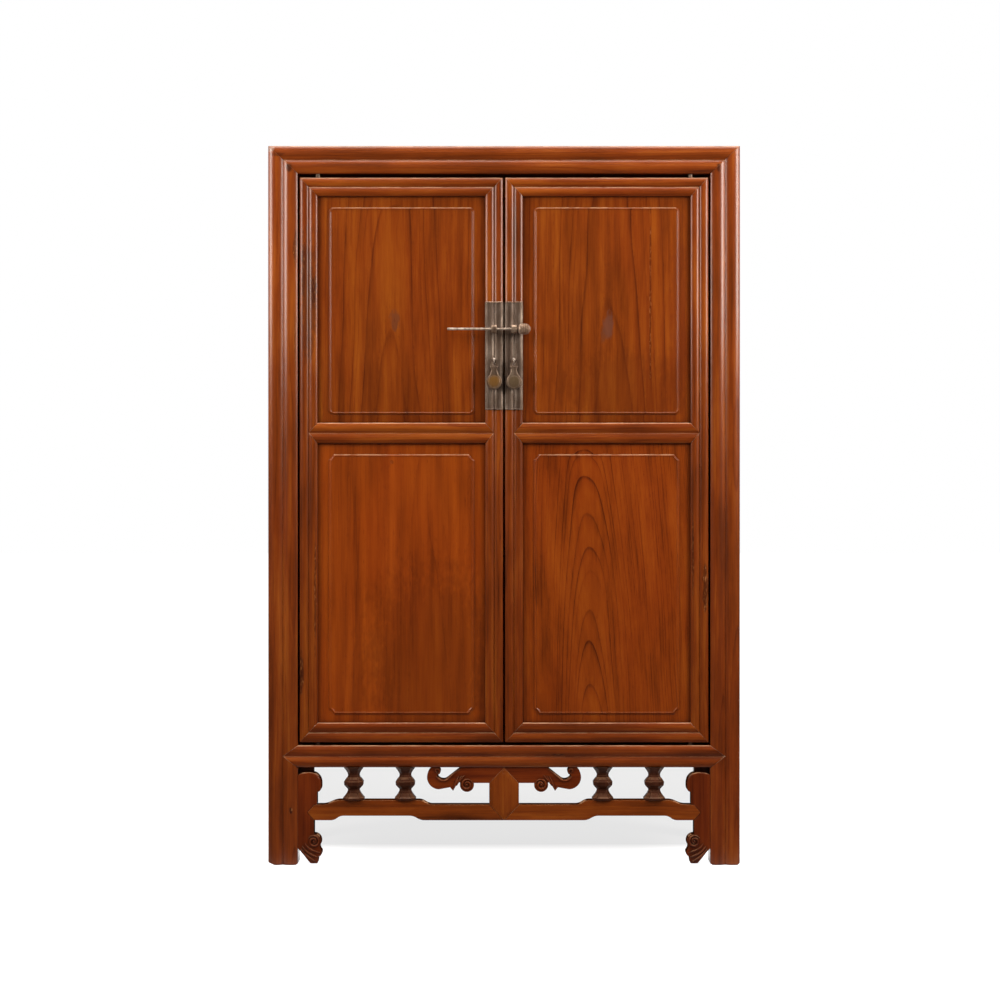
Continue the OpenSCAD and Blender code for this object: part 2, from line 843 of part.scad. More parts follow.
// Bores for the shanks of the lock knob and the pull eye
module shank_bores() {
  for (z = [latch_z, eye_z])
    translate([knob_x, door_y - plate_t - cut, z]) rotate([-90, 0, 0]) cylinder(r = shank_r, h = door_t + plate_t + 2 * cut);
}

module meeting_stile(side) {
  color(elm) on_side(side) difference() {
    door_middle_mirror() stile_body();
    door_grooves();
    shank_bores();
  }
}

module pivot_pins() {
  low = rail_top - socket_d + pivot_end_gap;
  high = top_rail_z + socket_d - pivot_end_gap;
  translate([pivot_x, pivot_y, low]) cylinder(r = pivot_r, h = door_z0 + pivot_grip - low);
  translate([pivot_x, pivot_y, door_z1 - pivot_grip]) cylinder(r = pivot_r, h = high - door_z1 + pivot_grip);
}

// A mitred rail at the top or bottom of a door
module mitred_rail(z0, h, is_top) {
  depth = door_t + 2 * cut;
  difference() {
    union() {
      difference() {
        level_bar(door_x0, door_y, z0 + h, door_x1 - door_x0, door_t, h, door_bead_rise);
        for (m = [0, 1]) mirror_if(m) {
          if (is_top) translate([door_x0, 0, z0 + h]) plate_xz(door_y - cut, depth) mitre_below(stile_w, h);
          else translate([door_x0, 0, z0]) plate_xz(door_y - cut, depth) mirror([0, 1]) mitre_below(stile_w, h);
        }
      }
      intersection() {
        door_tenons();
        box([door_x0, door_y, z0], [door_x1, door_back_y, z0 + h]);
      }
    }
    door_grooves();
    pivot_pins();
  }
}

module mirror_if(m) {
  if (m == 1) door_middle_mirror() children();
  else children();
}

module door_top_rail(side) {
  color(elm) on_side(side) mitred_rail(door_z1 - door_top_h, door_top_h, true);
}

module door_bottom_rail(side) {
  color(elm) on_side(side) mitred_rail(door_z0, door_bottom_h, false);
}

module door_mid_rail(side) {
  color(elm) on_side(side) difference() {
    union() {
      intersection() {
        level_bar(door_x0, door_y, mid_rail_top, door_x1 - door_x0, door_t, mid_rail_h, door_bead_rise);
        union() {
          box([panel_x0, door_y, mid_rail_z], [panel_x1, door_back_y, mid_rail_top]);
          for (m = [0, 1])
            mirror_if(m) plate_xz(door_y, door_lap_d) lap_point(panel_x0, -door_lap, mid_rail_z, mid_rail_h);
        }
      }
      intersection() {
        door_tenons();
        box([door_x0, door_y, mid_rail_z], [door_x1, door_back_y, mid_rail_top]);
      }
    }
    door_grooves();
  }
}

// Field of a door panel: convex corners on the upper panel, hollow corners on the lower one
module field_outline(w, h, hollow) {
  r = field_corner;
  if (hollow) {
    difference() {
      square([w, h]);
      for (x = [0, w], z = [0, h]) translate([x, z]) circle(r = r);
    }
  } else {
    translate([r, 0]) square([w - 2 * r, h]);
    translate([0, r]) square([w, h - 2 * r]);
    for (x = [r, w - r], z = [r, h - r]) translate([x, z]) circle(r = r);
  }
}

module door_panel(z0, z1, hollow) {
  board_y = tongue_y + door_tongue_t;
  w = panel_x1 - panel_x0 - 2 * margin_side;
  h = z1 - z0 - margin_top - margin_bottom;
  box([panel_x0, margin_y, z0], [panel_x1, board_y, z1]);
  door_panel_tongue(z0, z1, tongue);
  translate([panel_x0 + margin_side, 0, z0 + margin_bottom]) {
    plate_xz(margin_y - field_rise, field_rise) field_outline(w, h, hollow);
    plate_xz(margin_y - field_rise - rim_rise, rim_rise + field_rise) difference() {
      field_outline(w, h, hollow);
      translate([rim_w, rim_w]) field_outline(w - 2 * rim_w, h - 2 * rim_w, hollow);
    }
  }
}

module door_panel_upper(side) {
  color(elm) on_side(side) door_panel(mid_rail_top, door_z1 - door_top_h, false);
}

module door_panel_lower(side) {
  color(elm) on_side(side) door_panel(door_z0 + door_bottom_h, mid_rail_z, true);
}

module door_pivots(side) {
  color(aged_brass) on_side(side) pivot_pins();
}

// Thin brass plate that follows the beads of the meeting stile
module face_plate(side) {
  color(aged_brass) on_side(side) difference() {
    translate([door_x1 - stile_w, door_y, plate_z]) linear_extrude(plate_h) difference() {
      translate([0, -plate_t]) double_bead(stile_w, 2 * door_bead_rise, door_bead_rise);
      double_bead(stile_w, 3 * door_bead_rise, door_bead_rise);
      translate([-cut, door_bead_rise]) square([stile_w + 2 * cut, 3 * door_bead_rise]);
    }
    shank_bores();
  }
}

// Shank through the stile, with its ends bent over behind
module shank(z, from_y) {
  bend_w = 16;
  bend_t = 1.6;
  translate([knob_x, from_y, z]) rotate([-90, 0, 0]) cylinder(r = shank_r, h = door_back_y - from_y);
  box([knob_x - bend_w / 2, door_back_y, z - shank_r], [knob_x + bend_w / 2, door_back_y + bend_t, z + shank_r]);
}

module lock_knob(side) {
  neck_h = 1.1 * knob_r;
  color(aged_brass) on_side(side) difference() {
    union() {
      translate([knob_x - knob_w / 2, latch_y, latch_z]) rotate([0, 90, 0]) cylinder(r = knob_r, h = knob_w);
      box([knob_x - knob_w / 2, latch_y, latch_z - neck_h / 2],
          [knob_x + knob_w / 2, plate_front_y, latch_z + neck_h / 2]);
      shank(latch_z, plate_front_y - cut);
    }
    translate([knob_x - knob_w, latch_y, latch_z]) rotate([0, 90, 0])
      cylinder(r = latch_r + latch_clearance, h = 2 * knob_w);
  }
}

module pull_eye(side) {
  color(aged_brass) on_side(side) {
    translate([knob_x, eye_y, eye_z]) rotate([0, 90, 0]) rotate_extrude() translate([eye_r, 0]) circle(r = eye_wire_r);
    shank(eye_z, eye_y + eye_r);
  }
}

// Flat pull, hung on the ring through a hole above its shoulders
module pull_outline() {
  hole_z = -eye_r;
  shoulder_w = 11;
  waist_w = 7.5;
  polygon([[-4.5, hole_z + 3.2], [4.5, hole_z + 3.2], [shoulder_w, hole_z - 9], [waist_w, hole_z - 17],
           [waist_w, hole_z - 21], [pull_disc_r - 4, 12 - pull_drop], [pull_disc_r - 5, -pull_drop],
           [5 - pull_disc_r, -pull_drop], [4 - pull_disc_r, 12 - pull_drop], [-waist_w, hole_z - 21],
           [-waist_w, hole_z - 17], [-shoulder_w, hole_z - 9]]);
}

module pull(side) {
  disc_t = 1.3 * pull_t;
  hole_r = eye_wire_r + 0.8;
  color(aged_brass) on_side(side) translate([knob_x, eye_y, eye_z]) difference() {
    union() {
      plate_xz(-pull_t / 2, pull_t) pull_outline();
      translate([0, -disc_t / 2, -pull_drop]) rotate([-90, 0, 0]) cylinder(r = pull_disc_r, h = disc_t);
    }
    translate([0, -pull_t, -eye_r]) rotate([-90, 0, 0]) cylinder(r = hole_r, h = 2 * pull_t);
  }
}

// Latch pin: shank, collar and ribbed head
module latch_pin() {
  collar_w = 3;
  head_w = latch_head_d;
  ribs = 3;
  color(aged_brass) translate([0, latch_y, latch_z]) rotate([0, 90, 0]) {
    translate([0, 0, latch_tip_x]) cylinder(r = latch_r, h = latch_collar_x - latch_tip_x + collar_w);
    translate([0, 0, latch_collar_x]) cylinder(r1 = 1.4 * latch_r, r2 = 2 * latch_r, h = collar_w);
    translate([0, 0, latch_collar_x + collar_w]) rotate_extrude()
      polygon([[0, 0], [2 * latch_r, 0], [0.75 * latch_head_r, 0.18 * head_w], [latch_head_r, 0.5 * head_w],
               [0.8 * latch_head_r, 0.85 * head_w], [0.35 * latch_head_r, head_w], [0, head_w]]);
    for (i = [1:ribs])
      translate([0, 0, latch_collar_x + collar_w + head_w * (0.3 + 0.1 * i)])
        cylinder(r = latch_head_r, h = 0.05 * head_w);
  }
}

post_front(left);  // post_front_left
post_front(right);  // post_front_right
post_back(left);  // post_back_left
post_back(right);  // post_back_right
top_rail_front();
top_rail_back();
top_rail_side(left);  // top_rail_left
top_rail_side(right);  // top_rail_right
bottom_rail_front();
bottom_rail_back();
bottom_rail_side(left);  // bottom_rail_left
bottom_rail_side(right);  // bottom_rail_right
mid_rail_side(left);  // mid_rail_left
mid_rail_side(right);  // mid_rail_right
mid_rail_back();
side_panels(left);  // side_panels_left
side_panels(right);  // side_panels_right
back_panels();
top_board();
top_battens();
floor_board();
floor_battens();
shelf(lower_shelf_z);  // shelf_lower
shelf(upper_shelf_z);  // shelf_upper
shelf_bearers();
stretcher(left);  // stretcher_left
stretcher(right);  // stretcher_right
centre_block();
cloud_scroll(left);  // cloud_scroll_left
cloud_scroll(right);  // cloud_scroll_right
bracket(left);  // bracket_left
bracket(right);  // bracket_right
balusters();
side_apron(left);  // side_apron_left
side_apron(right);  // side_apron_right
hinge_stile(left);  // door_left_hinge_stile
meeting_stile(left);  // door_left_meeting_stile
door_top_rail(left);  // door_left_top_rail
door_mid_rail(left);  // door_left_mid_rail
door_bottom_rail(left);  // door_left_bottom_rail
door_panel_upper(left);  // door_left_panel_upper
door_panel_lower(left);  // door_left_panel_lower
door_pivots(left);  // door_left_pivots
face_plate(left);  // door_left_face_plate
lock_knob(left);  // door_left_lock_knob
pull_eye(left);  // door_left_pull_eye
pull(left);  // pull_left
hinge_stile(right);  // door_right_hinge_stile
meeting_stile(right);  // door_right_meeting_stile
door_top_rail(right);  // door_right_top_rail
door_mid_rail(right);  // door_right_mid_rail
door_bottom_rail(right);  // door_right_bottom_rail
door_panel_upper(right);  // door_right_panel_upper
door_panel_lower(right);  // door_right_panel_lower
door_pivots(right);  // door_right_pivots
face_plate(right);  // door_right_face_plate
lock_knob(right);  // door_right_lock_knob
pull_eye(right);  // door_right_pull_eye
pull(right);  // pull_right
latch_pin();
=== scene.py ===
import math
import random

import bmesh
import bpy
from mathutils import Matrix, Vector


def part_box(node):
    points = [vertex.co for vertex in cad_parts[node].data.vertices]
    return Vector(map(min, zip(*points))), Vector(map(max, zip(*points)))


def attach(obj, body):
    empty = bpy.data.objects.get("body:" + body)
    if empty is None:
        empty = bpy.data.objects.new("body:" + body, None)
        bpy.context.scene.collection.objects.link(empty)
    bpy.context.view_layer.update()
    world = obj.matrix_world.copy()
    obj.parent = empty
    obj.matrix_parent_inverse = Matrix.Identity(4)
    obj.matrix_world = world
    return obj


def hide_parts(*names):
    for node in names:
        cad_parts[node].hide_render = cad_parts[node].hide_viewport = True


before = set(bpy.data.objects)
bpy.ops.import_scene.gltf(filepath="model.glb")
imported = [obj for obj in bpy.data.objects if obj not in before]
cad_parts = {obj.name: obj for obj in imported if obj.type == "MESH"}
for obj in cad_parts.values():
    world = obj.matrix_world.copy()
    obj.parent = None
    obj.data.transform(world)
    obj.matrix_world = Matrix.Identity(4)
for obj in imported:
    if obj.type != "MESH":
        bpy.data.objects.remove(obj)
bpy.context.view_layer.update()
scene = bpy.context.scene

# Camera
# The photograph was taken square on with a long lens, level, at half the height of the cabinet.
camera = bpy.data.objects.new("camera", bpy.data.cameras.new("camera"))
camera.data.lens = 84.2
camera.data.sensor_width = 36
camera.location = (-0.009, -5.424, 0.812)
camera.rotation_euler = (math.radians(90), 0, 0)
scene.collection.objects.link(camera)
scene.camera = camera
scene.view_settings.view_transform = "Standard"


# Studio
# White seamless floor under soft boxes: one at each side of the front, one overhead, one high in
# front and a weak one behind. The room in front of the cabinet is dark, the backdrop is white.
def add(tree, kind, *values, stops=(), **settings):
    """Adds a shader node with its settings, and sets or links its inputs: in their order, or by
    name from a dictionary. Stops are the places and tones of a colour ramp"""
    made = tree.nodes.new("ShaderNode" + kind)
    for key, value in settings.items():
        setattr(made, key, value)
    if values and isinstance(values[0], dict):
        pairs = [(made.inputs[key], value) for key, value in values[0].items()]
    else:
        pairs = zip([s for s in made.inputs if s.enabled], values)
    for socket, value in pairs:
        if isinstance(value, bpy.types.Node):
            value = [s for s in value.outputs if s.enabled][0]
        if isinstance(value, bpy.types.NodeSocket):
            tree.links.new(value, socket)
        else:
            socket.default_value = value
    if stops:
        points = made.color_ramp.elements
        while len(points) < len(stops):
            points.new(0.5)
        for point, (position, tone) in zip(points, stops):
            point.position = position
            point.color = tone if isinstance(tone, tuple) else (tone, tone, tone, 1)
    return made


def empty_tree(owner):
    owner.use_nodes = True
    owner.node_tree.nodes.clear()
    return owner.node_tree


def soft_box(name, place, aim, size, power, mirrored=True):
    light = bpy.data.lights.new(name, "AREA")
    light.shape = "RECTANGLE"
    light.size, light.size_y = size
    light.energy = power
    light.color = (1, 0.965, 0.92)
    box = bpy.data.objects.new(name, light)
    box.location = place
    box.rotation_euler = (Vector(aim) - Vector(place)).to_track_quat("-Z", "Y").to_euler()
    box.visible_glossy = mirrored
    scene.collection.objects.link(box)


soft_box("soft_box_left", (-1.7, -1.12, 1.8), (-0.45, -0.22, 1.5), (0.6, 1.1), 21)
soft_box("soft_box_right", (1.7, -1.12, 1.8), (0.45, -0.22, 1.5), (0.6, 1.1), 27)
soft_box("soft_box_top", (0, -0.55, 3.1), (0, -0.45, 0), (2.4, 0.6), 30)
soft_box("soft_box_front", (0, -4.4, 3.4), (0, -0.2, 0.9), (2.6, 1.0), 36, mirrored=False)
soft_box("soft_box_back", (0, 4.2, 3.2), (0, 0.2, 1.0), (2.4, 1.2), 18, mirrored=False)

# Strength of the room: what falls on the cabinet, and what its gloss mirrors in front and behind
ROOM_FILL = 0.26
ROOM_DARK = 0.01
ROOM_BACK = 0.1
scene.world = bpy.data.worlds.new("studio")
tree = empty_tree(scene.world)
ray = add(tree, "LightPath").outputs
toward = add(tree, "SeparateXYZ", add(tree, "TexCoord").outputs["Generated"]).outputs["Y"]
backdrop = add(tree, "MapRange", {"Value": toward, "From Min": 0.0, "From Max": 0.35,
                                  "To Min": ROOM_DARK, "To Max": ROOM_BACK})
seen = add(tree, "Math", ray["Is Camera Ray"], ray["Is Transmission Ray"], operation="ADD",
           use_clamp=True)
fill = add(tree, "Math", seen, 1.0 - ROOM_FILL, ROOM_FILL, operation="MULTIPLY_ADD")
mirrored = add(tree, "Math", backdrop, ROOM_FILL, operation="SUBTRACT")
mirrored = add(tree, "Math", ray["Is Glossy Ray"], mirrored, operation="MULTIPLY")
strength = add(tree, "Math", fill, mirrored, operation="ADD")
background = add(tree, "Background", {"Color": (1, 1, 1, 1), "Strength": strength})
add(tree, "OutputWorld", {"Surface": background})

# White paper that glows for the camera, and is dull for everything else, so that it throws
# hardly any light up at the cabinet
PAPER_WHITE = 0.78
PAPER_DULL = 0.25
floor_material = bpy.data.materials.new("white_seamless_paper")
tree = empty_tree(floor_material)
ray = add(tree, "LightPath").outputs
place = add(tree, "SeparateXYZ", add(tree, "TexCoord").outputs["Object"]).outputs
near = add(tree, "MapRange", {"Value": place["Y"], "From Min": -0.35, "From Max": 0.0})
near = add(tree, "Math", near, ray["Is Glossy Ray"], operation="MULTIPLY")
seen = add(tree, "Math", ray["Is Camera Ray"], near, operation="ADD")
seen = add(tree, "Math", seen, ray["Is Transmission Ray"], operation="ADD", use_clamp=True)
# Painted shadow of the cabinet: the glow and the paper are darker in a strip behind it, which
# widens away from the lamps in front and fades out further back
aside = add(tree, "Math", place["X"], operation="ABSOLUTE")
beside = add(tree, "Math", place["Y"], -0.09, aside, operation="MULTIPLY_ADD")
beside = add(tree, "MapRange", {"Value": beside, "From Min": 0.54, "From Max": 0.48})
behind = add(tree, "MapRange", {"Value": place["Y"], "From Min": -0.02, "From Max": 0.1})
fading = add(tree, "MapRange", {"Value": place["Y"], "From Min": 2.8, "From Max": 1.9})
painted_shadow = add(tree, "Math", beside, behind, operation="MULTIPLY")
painted_shadow = add(tree, "Math", painted_shadow, fading, operation="MULTIPLY")
far = add(tree, "Math", painted_shadow, -0.26, 1.0, operation="MULTIPLY_ADD")
white = add(tree, "Math", painted_shadow, -0.62, PAPER_WHITE, operation="MULTIPLY_ADD")
paper = add(tree, "BsdfDiffuse", {"Color": white})
glow = add(tree, "Emission", {"Color": (1, 1, 1, 1), "Strength": far})
lit = add(tree, "AddShader", paper, glow)
unlit = add(tree, "Math", ray["Is Glossy Ray"], -0.2, PAPER_DULL, operation="MULTIPLY_ADD")
dull = add(tree, "BsdfDiffuse", {"Color": unlit})
shown = add(tree, "MixShader", seen, dull, lit)
add(tree, "OutputMaterial", {"Surface": shown})

bm = bmesh.new()
bmesh.ops.create_grid(bm, x_segments=1, y_segments=1, size=30)
floor_mesh = bpy.data.meshes.new("floor")
bm.to_mesh(floor_mesh)
bm.free()
floor_mesh.materials.append(floor_material)
floor = bpy.data.objects.new("floor", floor_mesh)
floor.location = (0, 0, -0.0002)
scene.collection.objects.link(floor)


# Front posts
# Square posts of old elm that run down to the feet, stained red brown and lacquered until they
# shine. Two broad beads are planed into the front, and a pointed lap is cut in for the bottom
# rail. At the top they are mitred to the front and side.
def colour(code):
    """Linear colour of an sRGB code such as 8A3A0C"""
    parts = [int(code[i:i + 2], 16) / 255 for i in (0, 2, 4)]
    return tuple(p / 12.92 if p < 0.04045 else ((p + 0.055) / 1.055) ** 2.4
                 for p in parts) + (1.0,)


def cloudy(tree, place, spots, detail=2.0, roughness=0.5):
    """Clouds, with so many spots per metre in the three directions"""
    stretched = add(tree, "VectorMath", place, spots, operation="MULTIPLY")
    return add(tree, "TexNoise", {"Vector": stretched, "Scale": 1.0, "Detail": detail,
                                  "Roughness": roughness})


def edge_mask(tree, radius):
    """1 on the edges of a piece, within a radius in metres"""
    rounded = add(tree, "Bevel", {"Radius": radius}, samples=4)
    straight = add(tree, "NewGeometry").outputs["True Normal"]
    alike = add(tree, "VectorMath", rounded, straight, operation="DOT_PRODUCT")
    return add(tree, "ValToRGB", alike, stops=[(0.72, 1.0), (0.97, 0.0)])


STREAKY = 0.6


def elm(name, light, middle, dark, ring, contrast, gloss, coat, patchy=1.0, even=0.18,
        corners=0.008, grime_and_shade=0.8, sawn=0.0, rub=0.75, flaws=()):
    """Stained elm. Each piece knows where it lay in its log, so growth rings come out as straight
    lines on the frames and as arches on the panels. Ring is the width of a growth ring in metres,
    even the range of tones, corners and the grime setting how far and how much painted shade and
    dark polish reach out of corners and grooves, sawn how dark the sawn edges are and the rub
    setting how light the edges are, from rubbing and from a painted highlight where they look up.
    Each flaw is x, y, z, the three radii, how much it shows and its colour"""
    light, middle, dark = colour(light), colour(middle), colour(dark)
    material = bpy.data.materials.new(name)
    tree = empty_tree(material)
    place = add(tree, "Attribute", attribute_name="grain").outputs["Vector"]
    # Rings wander by about a centimetre, and widen and narrow from year to year
    wander = cloudy(tree, place, (6, 6, 1.3)).outputs["Color"]
    wander = add(tree, "VectorMath", wander, (0.5, 0.5, 0.5), operation="SUBTRACT")
    wander = add(tree, "VectorMath", wander, (0.035, 0.035, 0), operation="MULTIPLY")
    bent = add(tree, "VectorMath", place, wander, operation="ADD")
    bent = add(tree, "VectorMath", bent, (1, 1, 0), operation="MULTIPLY")
    from_heart = add(tree, "VectorMath", bent, operation="LENGTH")
    years = add(tree, "Math", from_heart, ring, operation="DIVIDE")
    rate = add(tree, "TexNoise", {"W": years, "Scale": 0.35, "Detail": 1.0},
               noise_dimensions="1D")
    years = add(tree, "Math", rate, 2.2, years, operation="MULTIPLY_ADD")
    year = add(tree, "Math", years, operation="FRACT")
    # Late wood is dark and ends sharply. Some years show more than others, and lines come and go
    late = add(tree, "ValToRGB", year, stops=[(0.0, 0.12), (0.1, 0.0), (0.55, 0.0), (0.84, 0.35),
                                              (0.96, 1.0), (1.0, 0.4)])
    which = add(tree, "Math", years, operation="FLOOR")
    clear = add(tree, "TexWhiteNoise", which, noise_dimensions="1D")
    clear = add(tree, "Math", clear, 0.8, 0.2, operation="MULTIPLY_ADD")
    come_and_go = add(tree, "ValToRGB", cloudy(tree, place, (30, 30, 5)),
                      stops=[(0.3, 0.25), (0.55, 1.0)])
    clear = add(tree, "Math", clear, come_and_go, operation="MULTIPLY")
    late = add(tree, "Math", late, clear, operation="MULTIPLY")
    # Fine streaks along the grain, broader bands, and patches left by years of polish
    streaks = cloudy(tree, place, (330, 330, 10), 4, 0.65)
    bands = cloudy(tree, place, (52, 52, 2.2))
    patches = cloudy(tree, place, (16, 16, 5), 4)
    tone = add(tree, "Math", streaks, STREAKY, bands, operation="MULTIPLY_ADD")
    tone = add(tree, "Math", patches, patchy, tone, operation="MULTIPLY_ADD")
    tone = add(tree, "Math", tone, 1.0 + STREAKY + patchy, operation="DIVIDE")
    tone = add(tree, "Math", late, -contrast, tone, operation="MULTIPLY_ADD")
    stain = add(tree, "ValToRGB", tone, stops=[(0.5 - even, dark), (0.5, middle),
                                               (0.5 + even, light)])
    # The stain is redder in some places than in others
    redder = add(tree, "ValToRGB", cloudy(tree, place, (7, 7, 2.5), 3),
                 stops=[(0.42, 0.0), (0.62, 0.4)])
    stain = add(tree, "Mix", redder, stain, colour("F8DCC8"),
                data_type="RGBA", blend_type="MULTIPLY")
    # Knots, cracks and dents filled with dark polish
    spot = add(tree, "TexCoord").outputs["Object"]
    ragged = cloudy(tree, place, (90, 90, 40), 3, 0.6).outputs["Color"]
    ragged = add(tree, "VectorMath", ragged, (0.5, 0.5, 0.5), operation="SUBTRACT")
    cracked = add(tree, "ValToRGB", cloudy(tree, place, (420, 420, 90), 3, 0.65),
                  stops=[(0.4, colour("1E0A05")), (0.54, dark), (0.68, colour("C07C48"))])
    for x, y, z, across, depth, height, shows, *own in flaws:
        away = add(tree, "VectorMath", spot, (x, y, z), operation="SUBTRACT")
        away = add(tree, "VectorMath", away, (1 / across, 1 / depth, 1 / height),
                   operation="MULTIPLY")
        away = add(tree, "VectorMath", ragged, (1.6, 1.6, 1.6), away, operation="MULTIPLY_ADD")
        away = add(tree, "VectorMath", away, operation="LENGTH")
        there = add(tree, "MapRange", {"Value": away, "From Min": 1.1, "From Max": 0.7,
                                       "To Max": shows})
        stain = add(tree, "Mix", there, stain, colour(*own) if own else cracked, data_type="RGBA")
    # Pores: short dark dashes in the early wood, drawn coarser than they are
    pores = add(tree, "ValToRGB", cloudy(tree, place, (1500, 1500, 70), 1),
                stops=[(0.60, 0.0), (0.72, 1.0)])
    early = add(tree, "ValToRGB", year, stops=[(0.0, 1.0), (0.25, 0.35), (0.4, 0.12), (0.9, 0.2),
                                               (1.0, 1.0)])
    pores = add(tree, "Math", pores, early, operation="MULTIPLY")
    faint = add(tree, "Math", pores, 0.5, operation="MULTIPLY")
    stain = add(tree, "Mix", faint, stain, colour("6A4A38"),
                data_type="RGBA", blend_type="MULTIPLY")
    shiny = coat
    specular = 0.25
    dull = patches
    normal = add(tree, "TexCoord").outputs["Normal"]
    facing = add(tree, "SeparateXYZ", normal).outputs
    if sawn:
        edge = add(tree, "Math", facing["Y"], operation="ABSOLUTE")
        edge = add(tree, "ValToRGB", edge, stops=[(0.3, sawn), (0.75, 0.0)])
        stain = add(tree, "Mix", edge, stain, colour("220C05"), data_type="RGBA")
        shiny = add(tree, "Math", edge, -coat / sawn, coat, operation="MULTIPLY_ADD")
        specular = add(tree, "Math", edge, -specular / sawn, specular, operation="MULTIPLY_ADD")
        dull = add(tree, "Math", edge, 2.0, patches, operation="MULTIPLY_ADD")
    # Polish is rubbed off the edges here and there. Edges that look up are painted lighter still,
    # a painted highlight from the lamp above, and a painted highlight runs as a light line along
    # surfaces that slope up, such as the top of each bead and the eased edge on top of a rail
    rubbed = add(tree, "ValToRGB", cloudy(tree, place, (60, 60, 22), 3, 0.6),
                 stops=[(0.4, rub / 3), (0.6, rub)])
    upper = add(tree, "ValToRGB", facing["Z"], stops=[(0.0, 0.12), (0.35, 1.0)])
    edge_wear_and_highlight = add(tree, "Math", edge_mask(tree, 0.003), upper, operation="MULTIPLY")
    painted_top_highlight = add(tree, "ValToRGB", facing["Z"], stops=[(0.56, 0.0), (0.68, 1.0), (0.9, 1.0),
                                                      (0.96, 0.0)])
    edge_wear_and_highlight = add(tree, "Math", edge_wear_and_highlight, painted_top_highlight, operation="MAXIMUM")
    rubbed = add(tree, "Math", rubbed, edge_wear_and_highlight, operation="MULTIPLY")
    stain = add(tree, "Mix", rubbed, stain, colour("E2A87C"), data_type="RGBA")
    # Painted shade darkens the corners and grooves, with the dark polish that stays there
    corner_shade_and_grime = add(tree, "AmbientOcclusion", {"Distance": corners}, samples=6).outputs["AO"]
    corner_shade_and_grime = add(tree, "ValToRGB", corner_shade_and_grime, stops=[(grime_and_shade - 0.55, 1.0), (grime_and_shade, 0.0)])
    corner_shade_and_grime = add(tree, "Math", corner_shade_and_grime, 0.85, operation="MULTIPLY")
    stain = add(tree, "Mix", corner_shade_and_grime, stain, colour("1E0A04"), data_type="RGBA")
    # Hand-planed surface that is never quite flat, with the pores just open
    waves = cloudy(tree, place, (20, 20, 3), 1)
    planed = add(tree, "Bump", {"Strength": 1.0, "Distance": 0.00035, "Height": waves})
    fine = add(tree, "Math", pores, -1.0, streaks, operation="MULTIPLY_ADD")
    grained = add(tree, "Bump", {"Strength": 0.5, "Distance": 0.00014, "Height": fine,
                                 "Normal": planed})
    rough = add(tree, "Math", dull, 0.22, gloss - 0.11, operation="MULTIPLY_ADD")
    surface = add(tree, "BsdfPrincipled", {
        "Base Color": stain, "Roughness": rough, "Normal": grained, "Coat Normal": planed,
        "Specular IOR Level": specular, "Specular Tint": colour("FFC8A0"), "Coat Weight": shiny,
        "Coat Roughness": 0.24})
    add(tree, "OutputMaterial", {"Surface": surface})
    return material


# Glossy red brown, with orange where the polish is worn thin, light edges that are partly
# rubbed and partly a painted highlight, and dark corners that are partly gathered polish and
# partly painted shade. Stained mitres at the top, a knot low on the left post and cracks along
# the posts
FRAME_ELM = elm("elm_stained_frame", "B8621A", "8C3C0A", "4A1A04", 0.0060, 0.10, 0.42, 1.0,
                patchy=0.9, even=0.2, rub=1.0, flaws=(
                    (-0.478, -0.23, 1.552, 0.008, 0.02, 0.011, 0.8, "2A1008"),
                    (-0.503, -0.23, 1.581, 0.016, 0.02, 0.005, 0.5, "3A1608"),
                    (-0.519, -0.22, 1.594, 0.010, 0.02, 0.006, 0.5, "B09A8C"),
                    (0.478, -0.23, 1.55, 0.006, 0.02, 0.01, 0.7, "2A1008"),
                    (-0.474, -0.23, 0.121, 0.004, 0.02, 0.008, 0.9),
                    (-0.465, -0.23, 1.372, 0.005, 0.02, 0.05, 0.6),
                    (-0.465, -0.23, 1.16, 0.0025, 0.02, 0.09, 0.4),
                    (0.462, -0.23, 1.32, 0.003, 0.02, 0.12, 0.45),
                    (0.12, -0.23, 0.245, 0.02, 0.02, 0.003, 0.6)))

# Sizes are in millimetres, and pieces are made in metres at the end
MM = 0.001
OUTER_X = 525
INNER_X = 459
POST_W = OUTER_X - INNER_X
FRONT_Y = -224.25
POST_D = 60
INNER_FRONT_Y = FRONT_Y + POST_D
TOP_Z = 1600
TOP_RAIL_Z = 1538.5
TOP_RAIL_H = TOP_Z - TOP_RAIL_Z
RAIL_Z = 217
RAIL_TOP = 266
BEAD_RISE = 6
LAP_TIP = 492
LAP_DEPTH = 14
MITRE_SET = 8
MITRE_D = POST_D - MITRE_SET


def outline(bm, start, *moves, closed=True):
    """Draws in x and z: a pair is a line to that point, three numbers are an arc round x, z by an
    angle, clockwise from the front. A closed outline is filled, an open one gives its edges"""
    at = bm.verts.new((start[0], 0, start[1]))
    for move in moves:
        if len(move) == 2:
            to = bm.verts.new((move[0], 0, move[1]))
            bm.edges.new((at, to))
        else:
            x, z, angle = move
            turned = bmesh.ops.spin(bm, geom=[at], cent=(x, 0, z), axis=(0, 1, 0),
                                    angle=math.radians(angle), steps=max(3, round(abs(angle) / 8)))
            to = [v for v in turned["geom_last"] if isinstance(v, bmesh.types.BMVert)][0]
        at = to
    bmesh.ops.remove_doubles(bm, verts=bm.verts, dist=0.01)
    if not closed:
        return list(bm.edges)
    ends = [v for v in bm.verts if len(v.link_edges) == 1]
    if ends:
        bm.edges.new(ends)
    return bmesh.ops.contextual_create(bm, geom=list(bm.edges))["faces"]


def round_off(bm, points, radius, segments=4):
    """Rounds the corners of an outline that are nearest to the points given"""
    corners = [min(bm.verts, key=lambda v: math.hypot(v.co.x - x, v.co.z - z)) for x, z in points]
    bmesh.ops.bevel(bm, geom=corners, offset=radius, segments=segments, profile=0.5,
                    affect="VERTICES", material=-1)


